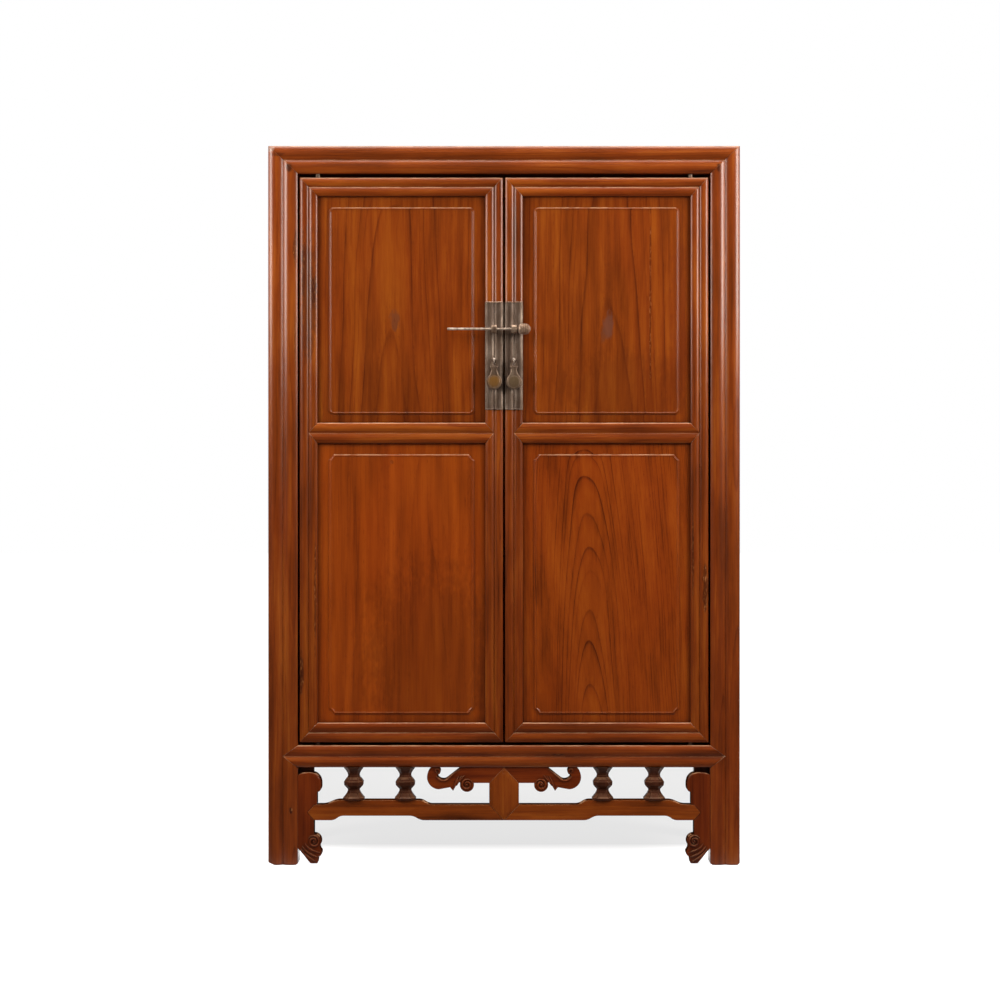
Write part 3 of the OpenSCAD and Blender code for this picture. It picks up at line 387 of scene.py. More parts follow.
def shift(bm, x=0, y=0, z=0):
    bmesh.ops.translate(bm, vec=(x, y, z), verts=bm.verts)


def turn(bm, degrees, axis):
    bmesh.ops.rotate(bm, verts=bm.verts, matrix=Matrix.Rotation(math.radians(degrees), 3, axis))


def thicken(bm, depth):
    """Gives an outline its thickness, from y = 0 backwards"""
    made = bmesh.ops.extrude_face_region(bm, geom=list(bm.faces))["geom"]
    bmesh.ops.translate(bm, vec=(0, depth, 0),
                        verts=[v for v in made if isinstance(v, bmesh.types.BMVert)])
    bmesh.ops.recalc_face_normals(bm, faces=bm.faces)
    return bm


def trim(bm, point, normal):
    """Saws off what lies beyond a plane, and closes the cut"""
    geometry = list(bm.verts) + list(bm.edges) + list(bm.faces)
    bmesh.ops.bisect_plane(bm, geom=geometry, dist=0.001, plane_co=point, plane_no=normal,
                           clear_outer=True)
    bmesh.ops.holes_fill(bm, edges=[e for e in bm.edges if e.is_boundary])
    bmesh.ops.recalc_face_normals(bm, faces=bm.faces)


def ease(bm, width, segments=2, sharper_than=38):
    """Takes the sharpness off every outer edge"""
    bmesh.ops.recalc_face_normals(bm, faces=bm.faces)
    edges = [e for e in bm.edges if len(e.link_faces) == 2
             and e.calc_face_angle_signed(0) > math.radians(sharper_than)]
    bmesh.ops.bevel(bm, geom=edges, offset=width, segments=segments, profile=0.5,
                    affect="EDGES", material=-1)


def carve(bm, cutter):
    """Takes the cutter's solid out of the first one"""
    holders = []
    for source in (bm, cutter):
        bmesh.ops.recalc_face_normals(source, faces=source.faces)
        mesh = bpy.data.meshes.new("carving")
        source.to_mesh(mesh)
        source.free()
        holders.append(bpy.data.objects.new("carving", mesh))
        scene.collection.objects.link(holders[-1])
    cut = holders[0].modifiers.new("cut", "BOOLEAN")
    cut.operation = "DIFFERENCE"
    cut.solver = "EXACT"
    cut.object = holders[1]
    result = bmesh.new()
    result.from_object(holders[0], bpy.context.evaluated_depsgraph_get())
    for holder in holders:
        mesh = holder.data
        bpy.data.objects.remove(holder)
        bpy.data.meshes.remove(mesh)
    bmesh.ops.remove_doubles(result, verts=result.verts, dist=0.005)
    return result


def finish(bm, name, body, material, slot, *nodes, mirror=False, smooth=32):
    """Makes the piece, in metres, riding on its body in place of its CAD nodes"""
    bmesh.ops.remove_doubles(bm, verts=bm.verts, dist=0.004)
    bmesh.ops.scale(bm, vec=(-MM if mirror else MM, MM, MM), verts=bm.verts)
    bmesh.ops.recalc_face_normals(bm, faces=bm.faces)
    mesh = bpy.data.meshes.new(name)
    bm.to_mesh(mesh)
    bm.free()
    mesh.materials.append(material)
    mesh.shade_smooth()
    mesh.set_sharp_from_angle(angle=math.radians(smooth))
    piece = bpy.data.objects.new(name, mesh)
    scene.collection.objects.link(piece)
    normals = piece.modifiers.new("flat_faces_stay_flat", "WEIGHTED_NORMAL")
    normals.keep_sharp = True
    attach(piece, body)
    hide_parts(*nodes)
    return piece


def from_log(piece, along, heart=None, slope=None, lean=0.0):
    """Notes for each point where it lay in the log: x and y across the trunk, z up it. The heart
    is that many millimetres from the middle of the piece, slope is how fast it comes nearer going
    down, and lean how fast it moves sideways"""
    chance = random.Random(piece.name)
    if heart is None:
        around = chance.uniform(0.6, 1.1)
        heart = (chance.choice((-1, 1)) * 95 * math.cos(around), 95 * math.sin(around) + 20)
    if slope is None:
        slope = chance.uniform(-0.008, 0.008)
    order = {"X": (2, 1, 0), "Y": (0, 2, 1), "Z": (0, 1, 2)}[along]
    points = [v.co for v in piece.data.vertices]
    middle = [(min(p[i] for p in points) + max(p[i] for p in points)) / 2 for i in range(3)]
    up = chance.uniform(0, 9)
    places = []
    for p in points:
        across, depth, length = (p[i] - middle[i] for i in order)
        places += [across + heart[0] * MM + lean * length, depth + heart[1] * MM + slope * length,
                   length + up]
    grain = piece.data.attributes.new("grain", "FLOAT_VECTOR", "POINT")
    grain.data.foreach_set("vector", places)


def two_beads(width, rise):
    """Arcs of two beads side by side, for an outline"""
    half = width / 4
    radius = (half * half + rise * rise) / (2 * rise)
    sweep = 2 * math.degrees(math.asin(half / radius))
    return (half, -radius, sweep), (half * 3, -radius, sweep)


def beaded_bar(width, depth, rise, length):
    """A bar with two beads on its front, standing on the origin: width in x, depth in y"""
    bm = bmesh.new()
    outline(bm, (0, -depth), (0, -rise), *two_beads(width, rise), (width, -depth))
    round_off(bm, [(0, -rise), (width, -rise)], 1.5, 3)
    round_off(bm, [(0, -depth), (width, -depth)], 1, 2)
    thicken(bm, length)
    turn(bm, 90, "X")
    return bm


def upright(x, y, z, width, depth, rise, length):
    bm = beaded_bar(width, depth, rise, length)
    shift(bm, x, y, z)
    return bm


def lap_notch(x, reach, low, high, y, depth, play=0.15):
    """The pointed seat cut for the end of a rail"""
    bm = bmesh.new()
    back = x + (3 if reach < 0 else -3)
    tip = x + reach - math.copysign(play, -reach)
    outline(bm, (back, low - play), (x, low - play), (tip, (low + high) / 2),
            (x, high + play), (back, high + play))
    thicken(bm, depth + play + 2)
    shift(bm, y=y - 2)
    return bm


# Height of the worn foot at the outside, and the slope of its wear
FOOT_WEAR = {"left": (6, (-6, 0, -15)), "right": (4, (-4, 0, -5))}
for side, (worn_z, worn_slope) in FOOT_WEAR.items():
    post = upright(-OUTER_X, FRONT_Y, 0, POST_W, POST_D, BEAD_RISE, TOP_Z)
    post = carve(post, lap_notch(-INNER_X, INNER_X - LAP_TIP, RAIL_Z, RAIL_TOP, FRONT_Y, LAP_DEPTH))
    trim(post, (-OUTER_X, 0, TOP_Z), (TOP_RAIL_H, 0, POST_W))
    trim(post, (0, FRONT_Y + MITRE_SET, TOP_Z), (0, TOP_RAIL_H, MITRE_D))
    trim(post, (-OUTER_X, 0, worn_z), worn_slope)
    trim(post, (-INNER_X, 0, 3), (3, 0, -4))
    ease(post, 0.7)
    post = finish(post, f"front_post_{side}", "carcass", FRAME_ELM, "elm_frame",
                  f"post_front_{side}", mirror=side == "right")
    from_log(post, "Z", heart=(-60, 110))


# Top frame
# Four rails of the same elm on top of the posts. In front the beads turn the corner in a mitre,
# and a mitre runs back over the top and down the side, so that no end grain shows.
BACK_Y = 255.75
BACK_POST_D = 60
INNER_BACK_Y = BACK_Y - BACK_POST_D


def level(x, y, top, length, depth, rise, height):
    """A beaded bar laid along x, with its upper bead at the top"""
    bm = beaded_bar(height, depth, rise, length)
    turn(bm, 90, "Y")
    shift(bm, x, y, top)
    return bm


def block(low, high):
    """A plain squared piece between two corners"""
    bm = bmesh.new()
    bmesh.ops.create_cube(bm, size=1)
    bmesh.ops.scale(bm, vec=Vector(high) - Vector(low), verts=bm.verts)
    bmesh.ops.translate(bm, vec=(Vector(high) + Vector(low)) / 2, verts=bm.verts)
    return bm


top = level(-OUTER_X, FRONT_Y, TOP_Z, 2 * OUTER_X, POST_D, BEAD_RISE, TOP_RAIL_H)
for x in (-1, 1):
    trim(top, (x * OUTER_X, 0, TOP_Z), (x * TOP_RAIL_H, 0, -POST_W))
    trim(top, (x * OUTER_X, FRONT_Y + MITRE_SET, 0), (x * MITRE_D, POST_W, 0))
ease(top, 1.0)
trim(top, (0, 0, TOP_Z), (0, 0, 1))
top = finish(top, "top_rail_front_moulded", "carcass", FRAME_ELM, "elm_frame", "top_rail_front")
from_log(top, "X")

for side in ("left", "right"):
    rail = block((-OUTER_X, FRONT_Y + BEAD_RISE, TOP_RAIL_Z), (-INNER_X, BACK_Y, TOP_Z))
    trim(rail, (0, FRONT_Y + MITRE_SET, TOP_Z), (0, -TOP_RAIL_H, -MITRE_D))
    trim(rail, (-OUTER_X, FRONT_Y + MITRE_SET, 0), (MITRE_D, -POST_W, 0))
    trim(rail, (0, BACK_Y, TOP_Z), (0, TOP_RAIL_H, -BACK_POST_D))
    trim(rail, (-OUTER_X, BACK_Y, 0), (BACK_POST_D, POST_W, 0))
    ease(rail, 0.9)
    rail = finish(rail, f"top_rail_{side}_eased", "carcass", FRAME_ELM, "elm_frame",
                  f"top_rail_{side}", mirror=side == "right")
    from_log(rail, "Y")

rail = block((-OUTER_X, INNER_BACK_Y, TOP_RAIL_Z), (OUTER_X, BACK_Y, TOP_Z))
for x in (-1, 1):
    trim(rail, (x * OUTER_X, 0, TOP_Z), (x * TOP_RAIL_H, 0, -POST_W))
    trim(rail, (x * OUTER_X, BACK_Y, 0), (x * BACK_POST_D, -POST_W, 0))
ease(rail, 0.9)
rail = finish(rail, "top_rail_back_eased", "carcass", FRAME_ELM, "elm_frame", "top_rail_back")
from_log(rail, "X")


# Back posts and lower rails
# Squared elm, tenoned into the posts. The bottom rail in front has the beads of the posts, a
# little flatter, and runs into them with a point at each end.
for side in ("left", "right"):
    post = block((-OUTER_X, INNER_BACK_Y, 0), (-INNER_X, BACK_Y, TOP_Z))
    trim(post, (-OUTER_X, 0, TOP_Z), (TOP_RAIL_H, 0, POST_W))
    trim(post, (0, BACK_Y, TOP_Z), (0, -TOP_RAIL_H, BACK_POST_D))
    ease(post, 1.4)
    post = finish(post, f"back_post_{side}", "carcass", FRAME_ELM, "elm_frame",
                  f"post_back_{side}", mirror=side == "right")
    from_log(post, "Z")

RAIL_H = RAIL_TOP - RAIL_Z
rail = level(-LAP_TIP, FRONT_Y, RAIL_TOP, 2 * LAP_TIP, POST_D, BEAD_RISE * 0.8, RAIL_H)
for x in (-1, 1):
    low, high = sorted((x * INNER_X, x * (LAP_TIP + 5)))
    rail = carve(rail, block((low, FRONT_Y + LAP_DEPTH, RAIL_Z - 5),
                             (high, INNER_FRONT_Y + 5, RAIL_TOP + 5)))
    for up in (1, -1):
        trim(rail, (x * LAP_TIP, 0, RAIL_Z + RAIL_H / 2),
             (x * RAIL_H / 2, 0, up * (LAP_TIP - INNER_X)))
ease(rail, 1.0)
rail = finish(rail, "bottom_rail_front_moulded", "carcass", FRAME_ELM, "elm_frame",
              "bottom_rail_front")
from_log(rail, "X")


def node_box(node):
    """A CAD node's corners in millimetres"""
    low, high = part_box(node)
    return Vector(low) / MM, Vector(high) / MM


def squared(name, node, along, material=FRAME_ELM, slot="elm_frame", width=1.0, low=None,
            high=None):
    """A squared piece with eased edges where its CAD node is, without the tenons and tongues"""
    box = node_box(node)
    corners = [[v if v is not None else box[i][k] for k, v in enumerate(given or (None,) * 3)]
               for i, given in enumerate((low, high))]
    bm = block(*corners)
    ease(bm, width)
    from_log(finish(bm, name, "carcass", material, slot, node), along)


for rail in ("bottom_rail", "mid_rail"):
    squared(f"{rail}_back_eased", f"{rail}_back", "X", low=(-INNER_X, None, None),
            high=(INNER_X, None, None))
for side in ("left", "right"):
    for rail in ("bottom_rail", "mid_rail"):
        squared(f"{rail}_{side}_eased", f"{rail}_{side}", "Y", width=1.3,
                low=(None, INNER_FRONT_Y, None), high=(None, INNER_BACK_Y, None))
    squared(f"side_apron_{side}_eased", f"side_apron_{side}", "Y", width=1.5)


# Boards of the carcass
# Flat-sawn boards in grooves: top and floor on battens, side and back panels, and two shelves on
# bearers. The outside has the finish of the doors, the inside is hardly stained.
MID_RAIL_Z = 938
MID_RAIL_TOP = 984
BOARD_T = 9
PANEL_SET = 14
BATTENS = (("top_batten_pair", "top_battens", 1585), ("floor_batten_pair", "floor_battens", 252))
BATTEN_X = 230
BATTEN_HALF = 20
BATTEN_T = 24
SHELVES = (("shelf_lower", 690), ("shelf_upper", 1112))
SHELF_T = 18
BEARER_X = 431
BEARER_H = 30

# The stain of the frames on flat-sawn boards, with the figure of the rings showing clearly. Of
# the doors' boards the right upper one has a split along the grain, and both a grey mark where a
# branch began
# The painted shade reaches further on the boards, so that their margins darken along the frame
PANEL_ELM = elm("elm_stained_panel", "B05C12", "8E3E08", "5A2204", 0.0090, 0.21, 0.4, 0.6,
                patchy=0.7, even=0.22, corners=0.022, grime_and_shade=0.98, rub=0.95, flaws=(
                    (-0.243, -0.214, 1.212, 0.012, 0.01, 0.024, 0.6, "6A3C28"),
                    (0.232, -0.214, 1.198, 0.012, 0.01, 0.034, 0.6, "70483A"),
                    (0.222, -0.214, 1.18, 0.008, 0.01, 0.02, 0.5, "6A3C28"),
                    (0.39, -0.214, 1.22, 0.02, 0.01, 0.2, 0.35, "7A3010"),
                    (0.27, -0.214, 1.06, 0.15, 0.01, 0.09, 0.25, "5A2204"),
                    (0.326, -0.214, 1.25, 0.0022, 0.01, 0.2, 0.55)))
# Inside and back: thin stain, hardly any polish, so it is paler and matt
PLAIN_WOOD = elm("plain_wood_thin_stain", "9A6E46", "7C5030", "57341C", 0.0065, 0.2, 0.66, 0.0)


def join(bm, *others):
    """Puts other shapes in with the first one"""
    for other in others:
        mesh = bpy.data.meshes.new("joined")
        other.to_mesh(mesh)
        other.free()
        bm.from_mesh(mesh)
        bpy.data.meshes.remove(mesh)
    return bm


def panel_pair(name, node, low, high, material, slot, heart):
    """The lower and the upper panel of one side or of the back"""
    bm = join(bmesh.new(), block((*low, RAIL_TOP), (*high, MID_RAIL_Z)),
              block((*low, MID_RAIL_TOP), (*high, TOP_RAIL_Z)))
    piece = finish(bm, name, "carcass", material, slot, node)
    from_log(piece, "Z", heart=heart, slope=0.06)


for side, x in (("left", -1), ("right", 1)):
    inner, outer = sorted((x * (OUTER_X - PANEL_SET - BOARD_T), x * (OUTER_X - PANEL_SET)))
    panel_pair(f"side_boards_{side}", f"side_panels_{side}", (inner, INNER_FRONT_Y),
               (outer, INNER_BACK_Y), PANEL_ELM, "elm_panel", heart=(-x * 95, 20))
panel_pair("back_boards", "back_panels", (-INNER_X, BACK_Y - PANEL_SET - BOARD_T),
           (INNER_X, BACK_Y - PANEL_SET), PLAIN_WOOD, "plain_wood", heart=(40, 120))
inside = ((-INNER_X, INNER_FRONT_Y, None), (INNER_X, INNER_BACK_Y, None))
squared("top_boards", "top_board", "X", PANEL_ELM, "elm_panel", 0.6, *inside)
squared("floor_boards", "floor_board", "X", PLAIN_WOOD, "plain_wood", 0.6, *inside)


def stick_set(name, node, boxes):
    """Plain sticks that run from front to back"""
    bm = bmesh.new()
    for low, high in boxes:
        stick = block(low, high)
        ease(stick, 1.0)
        join(bm, stick)
    from_log(finish(bm, name, "carcass", PLAIN_WOOD, "plain_wood", node), "Y")


for name, node, under in BATTENS:
    stick_set(name, node, [((x - BATTEN_HALF, INNER_FRONT_Y, under - BATTEN_T),
                            (x + BATTEN_HALF, INNER_BACK_Y, under))
                           for x in (-BATTEN_X, BATTEN_X)])
bearers = []
for node, top in SHELVES:
    for x in (-1, 1):
        low, high = sorted((x * BEARER_X, x * INNER_X))
        bearers.append(((low, INNER_FRONT_Y, top - SHELF_T - BEARER_H),
                        (high, INNER_BACK_Y, top - SHELF_T)))
stick_set("shelf_bearer_set", "shelf_bearers", bearers)

for node, top in SHELVES:
    low, high = node_box(node)
    shelf = block((low.x, low.y, top - SHELF_T), (high.x, high.y, top))
    for x in (-1, 1):
        a, b = sorted((x * INNER_X, x * (high.x + 5)))
        shelf = carve(shelf, block((a, INNER_BACK_Y, top - 30), (b, high.y + 5, top + 10)))
    ease(shelf, 1.2)
    shelf = finish(shelf, node + "_board", "carcass", PLAIN_WOOD, "plain_wood", node)
    from_log(shelf, "X")


# Doors
# Each leaf is a mitred elm frame with the two beads of the carcass in small, a middle rail that
# runs into the stiles with a point, and two flat-sawn panels. It turns on pins in the rails.
DOOR_X = (-455, -2)
DOOR_Z = (272.4, 1529.6)
DOOR_Y = -222.25
DOOR_D = 26
DOOR_RISE = 4.5
STILE = 40
DOOR_TOP = 41.5
DOOR_BOTTOM = 44
DOOR_LAP = 20
DOOR_LAP_DEPTH = 12

# The doors are handled more than the frame, and their frames have lost some of the gloss
DOOR_ELM = elm("elm_stained_door_frame", "B45E16", "863808", "461804", 0.0060, 0.12, 0.42, 0.75,
               patchy=1.0, even=0.2, rub=1.2, flaws=(
                   (-0.451, -0.22, 0.43, 0.006, 0.02, 0.05, 0.75),
                   (-0.424, -0.22, 1.28, 0.009, 0.02, 0.04, 0.75),
                   (-0.446, -0.22, 1.33, 0.005, 0.02, 0.09, 0.6),
                   (-0.435, -0.22, 1.26, 0.02, 0.02, 0.16, 0.6, "4A2010"),
                   (-0.42, -0.22, 0.6, 0.003, 0.02, 0.12, 0.5),
                   (0.448, -0.22, 0.62, 0.006, 0.02, 0.06, 0.7),
                   (0.42, -0.22, 0.7, 0.003, 0.02, 0.1, 0.5)))
# Lower boards: the left one redder and nearly plain, the right one from a slower tree. Both
# are painted lighter than the upper boards, to make up for the lamps' weaker light low down
PLAIN_ELM = elm("elm_stained_red_board", "BC580E", "A04408", "6E2A05", 0.0070, 0.08, 0.4, 0.6,
                patchy=0.6, even=0.22, corners=0.022, grime_and_shade=0.98, rub=0.95, flaws=(
                    (-0.25, -0.214, 0.897, 0.006, 0.01, 0.005, 0.5),
                    (-0.16, -0.214, 0.45, 0.16, 0.01, 0.24, 0.3, "5A2204")))
CLOSE_ELM = elm("elm_stained_close_ringed", "B85A10", "9A4108", "561F03", 0.0056, 0.33, 0.4, 0.6,
                patchy=0.6, even=0.28, corners=0.022, grime_and_shade=0.98, rub=0.95)


def stile(x, notch_x, reach, inward):
    bm = upright(x, DOOR_Y, DOOR_Z[0], STILE, DOOR_D, DOOR_RISE, DOOR_Z[1] - DOOR_Z[0])
    bm = carve(bm, lap_notch(notch_x, reach, MID_RAIL_Z, MID_RAIL_TOP, DOOR_Y, DOOR_LAP_DEPTH))
    edge = x if inward > 0 else x + STILE
    trim(bm, (edge, 0, DOOR_Z[1]), (inward * DOOR_TOP, 0, STILE))
    trim(bm, (edge, 0, DOOR_Z[0]), (inward * DOOR_BOTTOM, 0, -STILE))
    ease(bm, 0.9)
    return bm


def mitred_rail(top, height, up):
    bm = level(DOOR_X[0], DOOR_Y, top, DOOR_X[1] - DOOR_X[0], DOOR_D, DOOR_RISE, height)
    corner = top if up > 0 else top - height
    for x, inward in zip(DOOR_X, (1, -1)):
        trim(bm, (x, 0, corner), (-inward * height, 0, -up * STILE))
    ease(bm, 0.9)
    return bm


def middle_rail():
    left, right = DOOR_X[0] + STILE - DOOR_LAP, DOOR_X[1] - STILE + DOOR_LAP
    height = MID_RAIL_TOP - MID_RAIL_Z
    bm = level(left, DOOR_Y, MID_RAIL_TOP, right - left, DOOR_D, DOOR_RISE, height)
    # The points are sawn before the laps are cut, since the cut sometimes leaves a saw line open
    ends = ((left, -1), (right, 1))
    for x, outward in ends:
        for up in (1, -1):
            trim(bm, (x, 0, MID_RAIL_Z + height / 2), (outward * height / 2, 0, up * DOOR_LAP))
    for x, outward in ends:
        low, high = sorted((x + outward * 5, x - outward * DOOR_LAP))
        bm = carve(bm, block((low, DOOR_Y + DOOR_LAP_DEPTH, MID_RAIL_Z - 5),
                             (high, DOOR_Y + DOOR_D + 5, MID_RAIL_TOP + 5)))
    ease(bm, 0.9)
    return bm


# The panels lie in grooves. A plane has left a margin round the raised field, and a thin bead
# runs along its edge. Upper panels have rounded corners, lower ones hollow corners.
MARGIN_Y = -212.25
PANEL_BACK_Y = -202.75
MARGIN = 24
MARGIN_BELOW = 18
RIM = ((2.4, 2.2), (0.9, 0.5), (1.3, 0), (1.2, -0.8))
CORNER = 11


def framed_panel(z0, z1, hollow):
    x0, x1 = DOOR_X[0] + STILE, DOOR_X[1] - STILE
    left, right, low, high = x0 + MARGIN, x1 - MARGIN, z0 + MARGIN_BELOW, z1 - MARGIN
    bm = bmesh.new()
    if hollow:
        points = []
        for x, z, dx, dz in ((left, high, 1, -1), (right, high, -1, -1), (right, low, -1, 1),
                             (left, low, 1, 1)):
            cut = [(x, z + 13 * dz), (x + 7 * dx, z + 7.5 * dz), (x + 12 * dx, z)]
            points += cut if dx == -dz else cut[::-1]
        outline(bm, *points)
        round_off(bm, points[1::3], 3, 3)
    else:
        outline(bm, (left, low + CORNER), (left, high - CORNER),
                (left + CORNER, high - CORNER, 90), (right - CORNER, high),
                (right - CORNER, high - CORNER, 90), (right, low + CORNER),
                (right - CORNER, low + CORNER, 90), (left + CORNER, low),
                (left + CORNER, low + CORNER, 90))
    made = bmesh.ops.extrude_face_region(bm, geom=list(bm.faces))["geom"]
    bmesh.ops.translate(bm, vec=(0, -0.4, 0),
                        verts=[v for v in made if isinstance(v, bmesh.types.BMVert)])
    bmesh.ops.recalc_face_normals(bm, faces=bm.faces)
    field = [f for f in made if isinstance(f, bmesh.types.BMFace)]
    for wide, rise in RIM:
        bmesh.ops.inset_region(bm, faces=field, thickness=wide, depth=rise, use_even_offset=True)
    shift(bm, y=MARGIN_Y + 0.1)
    return join(bm, block((x0, MARGIN_Y, z0), (x1, PANEL_BACK_Y, z1)))


# Where the heart of the log lay behind each panel, and how the board leans to it
FIGURE = {"left_upper": (PANEL_ELM, (20, 130), 0.035, 0.0),
          "left_lower": (PLAIN_ELM, (-60, 260), 0.01, 0.0),
          "right_upper": (PANEL_ELM, (-7, 125), 0.035, 0.0),
          "right_lower": (CLOSE_ELM, (37, 72), 0.085, 0.03)}
LOWER = (DOOR_Z[0] + DOOR_BOTTOM, MID_RAIL_Z)
UPPER = (MID_RAIL_TOP, DOOR_Z[1] - DOOR_TOP)
for side in ("left", "right"):
    body, flip = f"door_{side}", side == "right"
    hinge_x, inner_x = DOOR_X[0], DOOR_X[1] - STILE
    pieces = (("hinge_stile", stile(hinge_x, hinge_x + STILE, -DOOR_LAP, 1), "Z"),
              ("meeting_stile", stile(inner_x, inner_x, DOOR_LAP, -1), "Z"),
              ("top_rail", mitred_rail(DOOR_Z[1], DOOR_TOP, 1), "X"),
              ("bottom_rail", mitred_rail(DOOR_Z[0] + DOOR_BOTTOM, DOOR_BOTTOM, -1), "X"),
              ("mid_rail", middle_rail(), "X"))
    for name, bm, along in pieces:
        piece = finish(bm, f"{side}_door_{name}", body, DOOR_ELM, "elm_frame", f"{body}_{name}",
                       mirror=flip)
        from_log(piece, along)
    for name, (z0, z1), hollow in (("upper", UPPER, False), ("lower", LOWER, True)):
        wood, *grown = FIGURE[f"{side}_{name}"]
        piece = finish(framed_panel(z0, z1, hollow), f"{side}_door_panel_{name}", body, wood,
                       "elm_panel", f"{body}_panel_{name}", mirror=flip)
        from_log(piece, "Z", *grown)


# Apron
# Sawn and carved elm under the bottom rail: a humped stretcher in two halves, a pointed block,
# cloud scrolls, eight-sided struts and a bracket at each post, all tenoned or pinned.
APRON_Y = -218.25
APRON_T = 32
BRACKET_T = 35

# Nearly black brown struts, duller
DARK_ELM = elm("elm_dark_brown", "613321", "482112", "281109", 0.0045, 0.1, 0.5, 0.3,
               corners=0.014, rub=0.25)
# Stretcher and block: dull in the same way, with dark saw cuts
APRON_ELM = elm("elm_stained_apron", "B05A18", "8C3E0C", "4E1E06", 0.0060, 0.10, 0.45, 0.4,
                sawn=0.75, rub=1.3)
# Carved parts low down, where the stain has gone deep and red
CARVED_ELM = elm("elm_carved_deep_red", "98420F", "7A2E0A", "441604", 0.0060, 0.08, 0.42, 0.45,
                 corners=0.013, grime_and_shade=0.97, sawn=0.7)


def ridge(bm, points, radii):
    """A rounded ridge along a line, half sunk in the face"""
    curve = bpy.data.curves.new("ridge", "CURVE")
    curve.dimensions = "3D"
    curve.bevel_depth = 1
    curve.bevel_resolution = 2
    curve.use_fill_caps = True
    spline = curve.splines.new("POLY")
    spline.points.add(len(points) - 1)
    for point, (x, y, z), radius in zip(spline.points, points, radii):
        point.co = (x, y, z, 1)
        point.radius = radius
    holder = bpy.data.objects.new("ridge", curve)
    scene.collection.objects.link(holder)
    shape = holder.evaluated_get(bpy.context.evaluated_depsgraph_get())
    bm.from_mesh(shape.to_mesh())
    bpy.data.objects.remove(holder)
    bpy.data.curves.remove(curve)


def carved(bm, points, radius):
    """A ridge that fades out at both ends"""
    last = len(points) - 1
    ridge(bm, points, [radius * min(1.0, 0.35 + 3.0 * i / last, 0.35 + 3.0 * (last - i) / last)
                       for i in range(last + 1)])


def arc_points(cx, cz, r0, r1, start, sweep, y):
    """Points along an arc or spiral, from an angle that counts clockwise from the top"""
    steps = max(6, round(abs(sweep) / 12))
    points = []
    for i in range(steps + 1):
        radius = r0 + (r1 - r0) * i / steps
        angle = math.radians(start + sweep * i / steps)
        points.append((cx + radius * math.sin(angle), y, cz + radius * math.cos(angle)))
    return points


def button(bm, x, z, radius):
    """Round middle of a spiral"""
    bmesh.ops.create_uvsphere(bm, u_segments=14, v_segments=8, radius=radius,
                              matrix=Matrix.Translation((x, 0.2, z)))


def stretcher():
    bm = bmesh.new()
    tips = [(167, 134), (183, 144), (373, 144), (396, 134)]
    under = [(378, 99), (365, 109), (203, 109), (185, 99)]
    outline(bm, (0, 99), (33, 134), *tips, (423, 134), (438, 116.5), (423, 99), *under)
    round_off(bm, tips + under, 7, 5)
    thicken(bm, APRON_T)
    shift(bm, y=APRON_Y)
    ease(bm, 1.7, 2, 30)
    return bm


def cloud_scroll():
    bm = bmesh.new()
    curl, curl_r = (82.5, 178), 15.7
    pocket = (135, 204.5)
    lobe = (149.5, 208.5)
    outline(bm, (0, RAIL_Z), (95.5, RAIL_Z), (126.1, 193.1), (*pocket, -123), (149.5, 200),
            (*lobe, 180), (160.15, RAIL_Z), (144.5, 195, 144.6), (120, 172.5), (113.5, 164.5),
            (108, 174), (100.5, 184), (97.6, 182.3), (*curl, 180), (67.3, 182), (33, 182))
    thicken(bm, APRON_T)
    ease(bm, 0.8, 2, 42)
    carved(bm, arc_points(*curl, curl_r - 2.4, 3.4, -75, 560, -0.9), 2.3)
    button(bm, *curl, 3.0)
    for (x0, z0), (x1, z1), width in (((101, 197), (113, 167), 2.3), ((94.5, 198), (106, 176), 2.0),
                                      ((88, 199), (99.5, 185), 1.8)):
        leaf = [(x0 + (x1 - x0) * t, -0.7, z0 + (z1 - z0) * t + 3 * t * (1 - t))
                for t in (0, 0.25, 0.5, 0.75, 1)]
        carved(bm, leaf, width)
    rim = [(98, -0.6, 213.0), (112, -0.6, 202.4), (124.3, -0.6, 191.0)]
    carved(bm, rim + arc_points(*pocket, 17.4, 17.4, 212, -95, -0.6), 2.1)
    carved(bm, arc_points(*lobe, 6.2, 1.8, 190, 380, -0.7), 1.9)
    shift(bm, y=APRON_Y)
    return bm


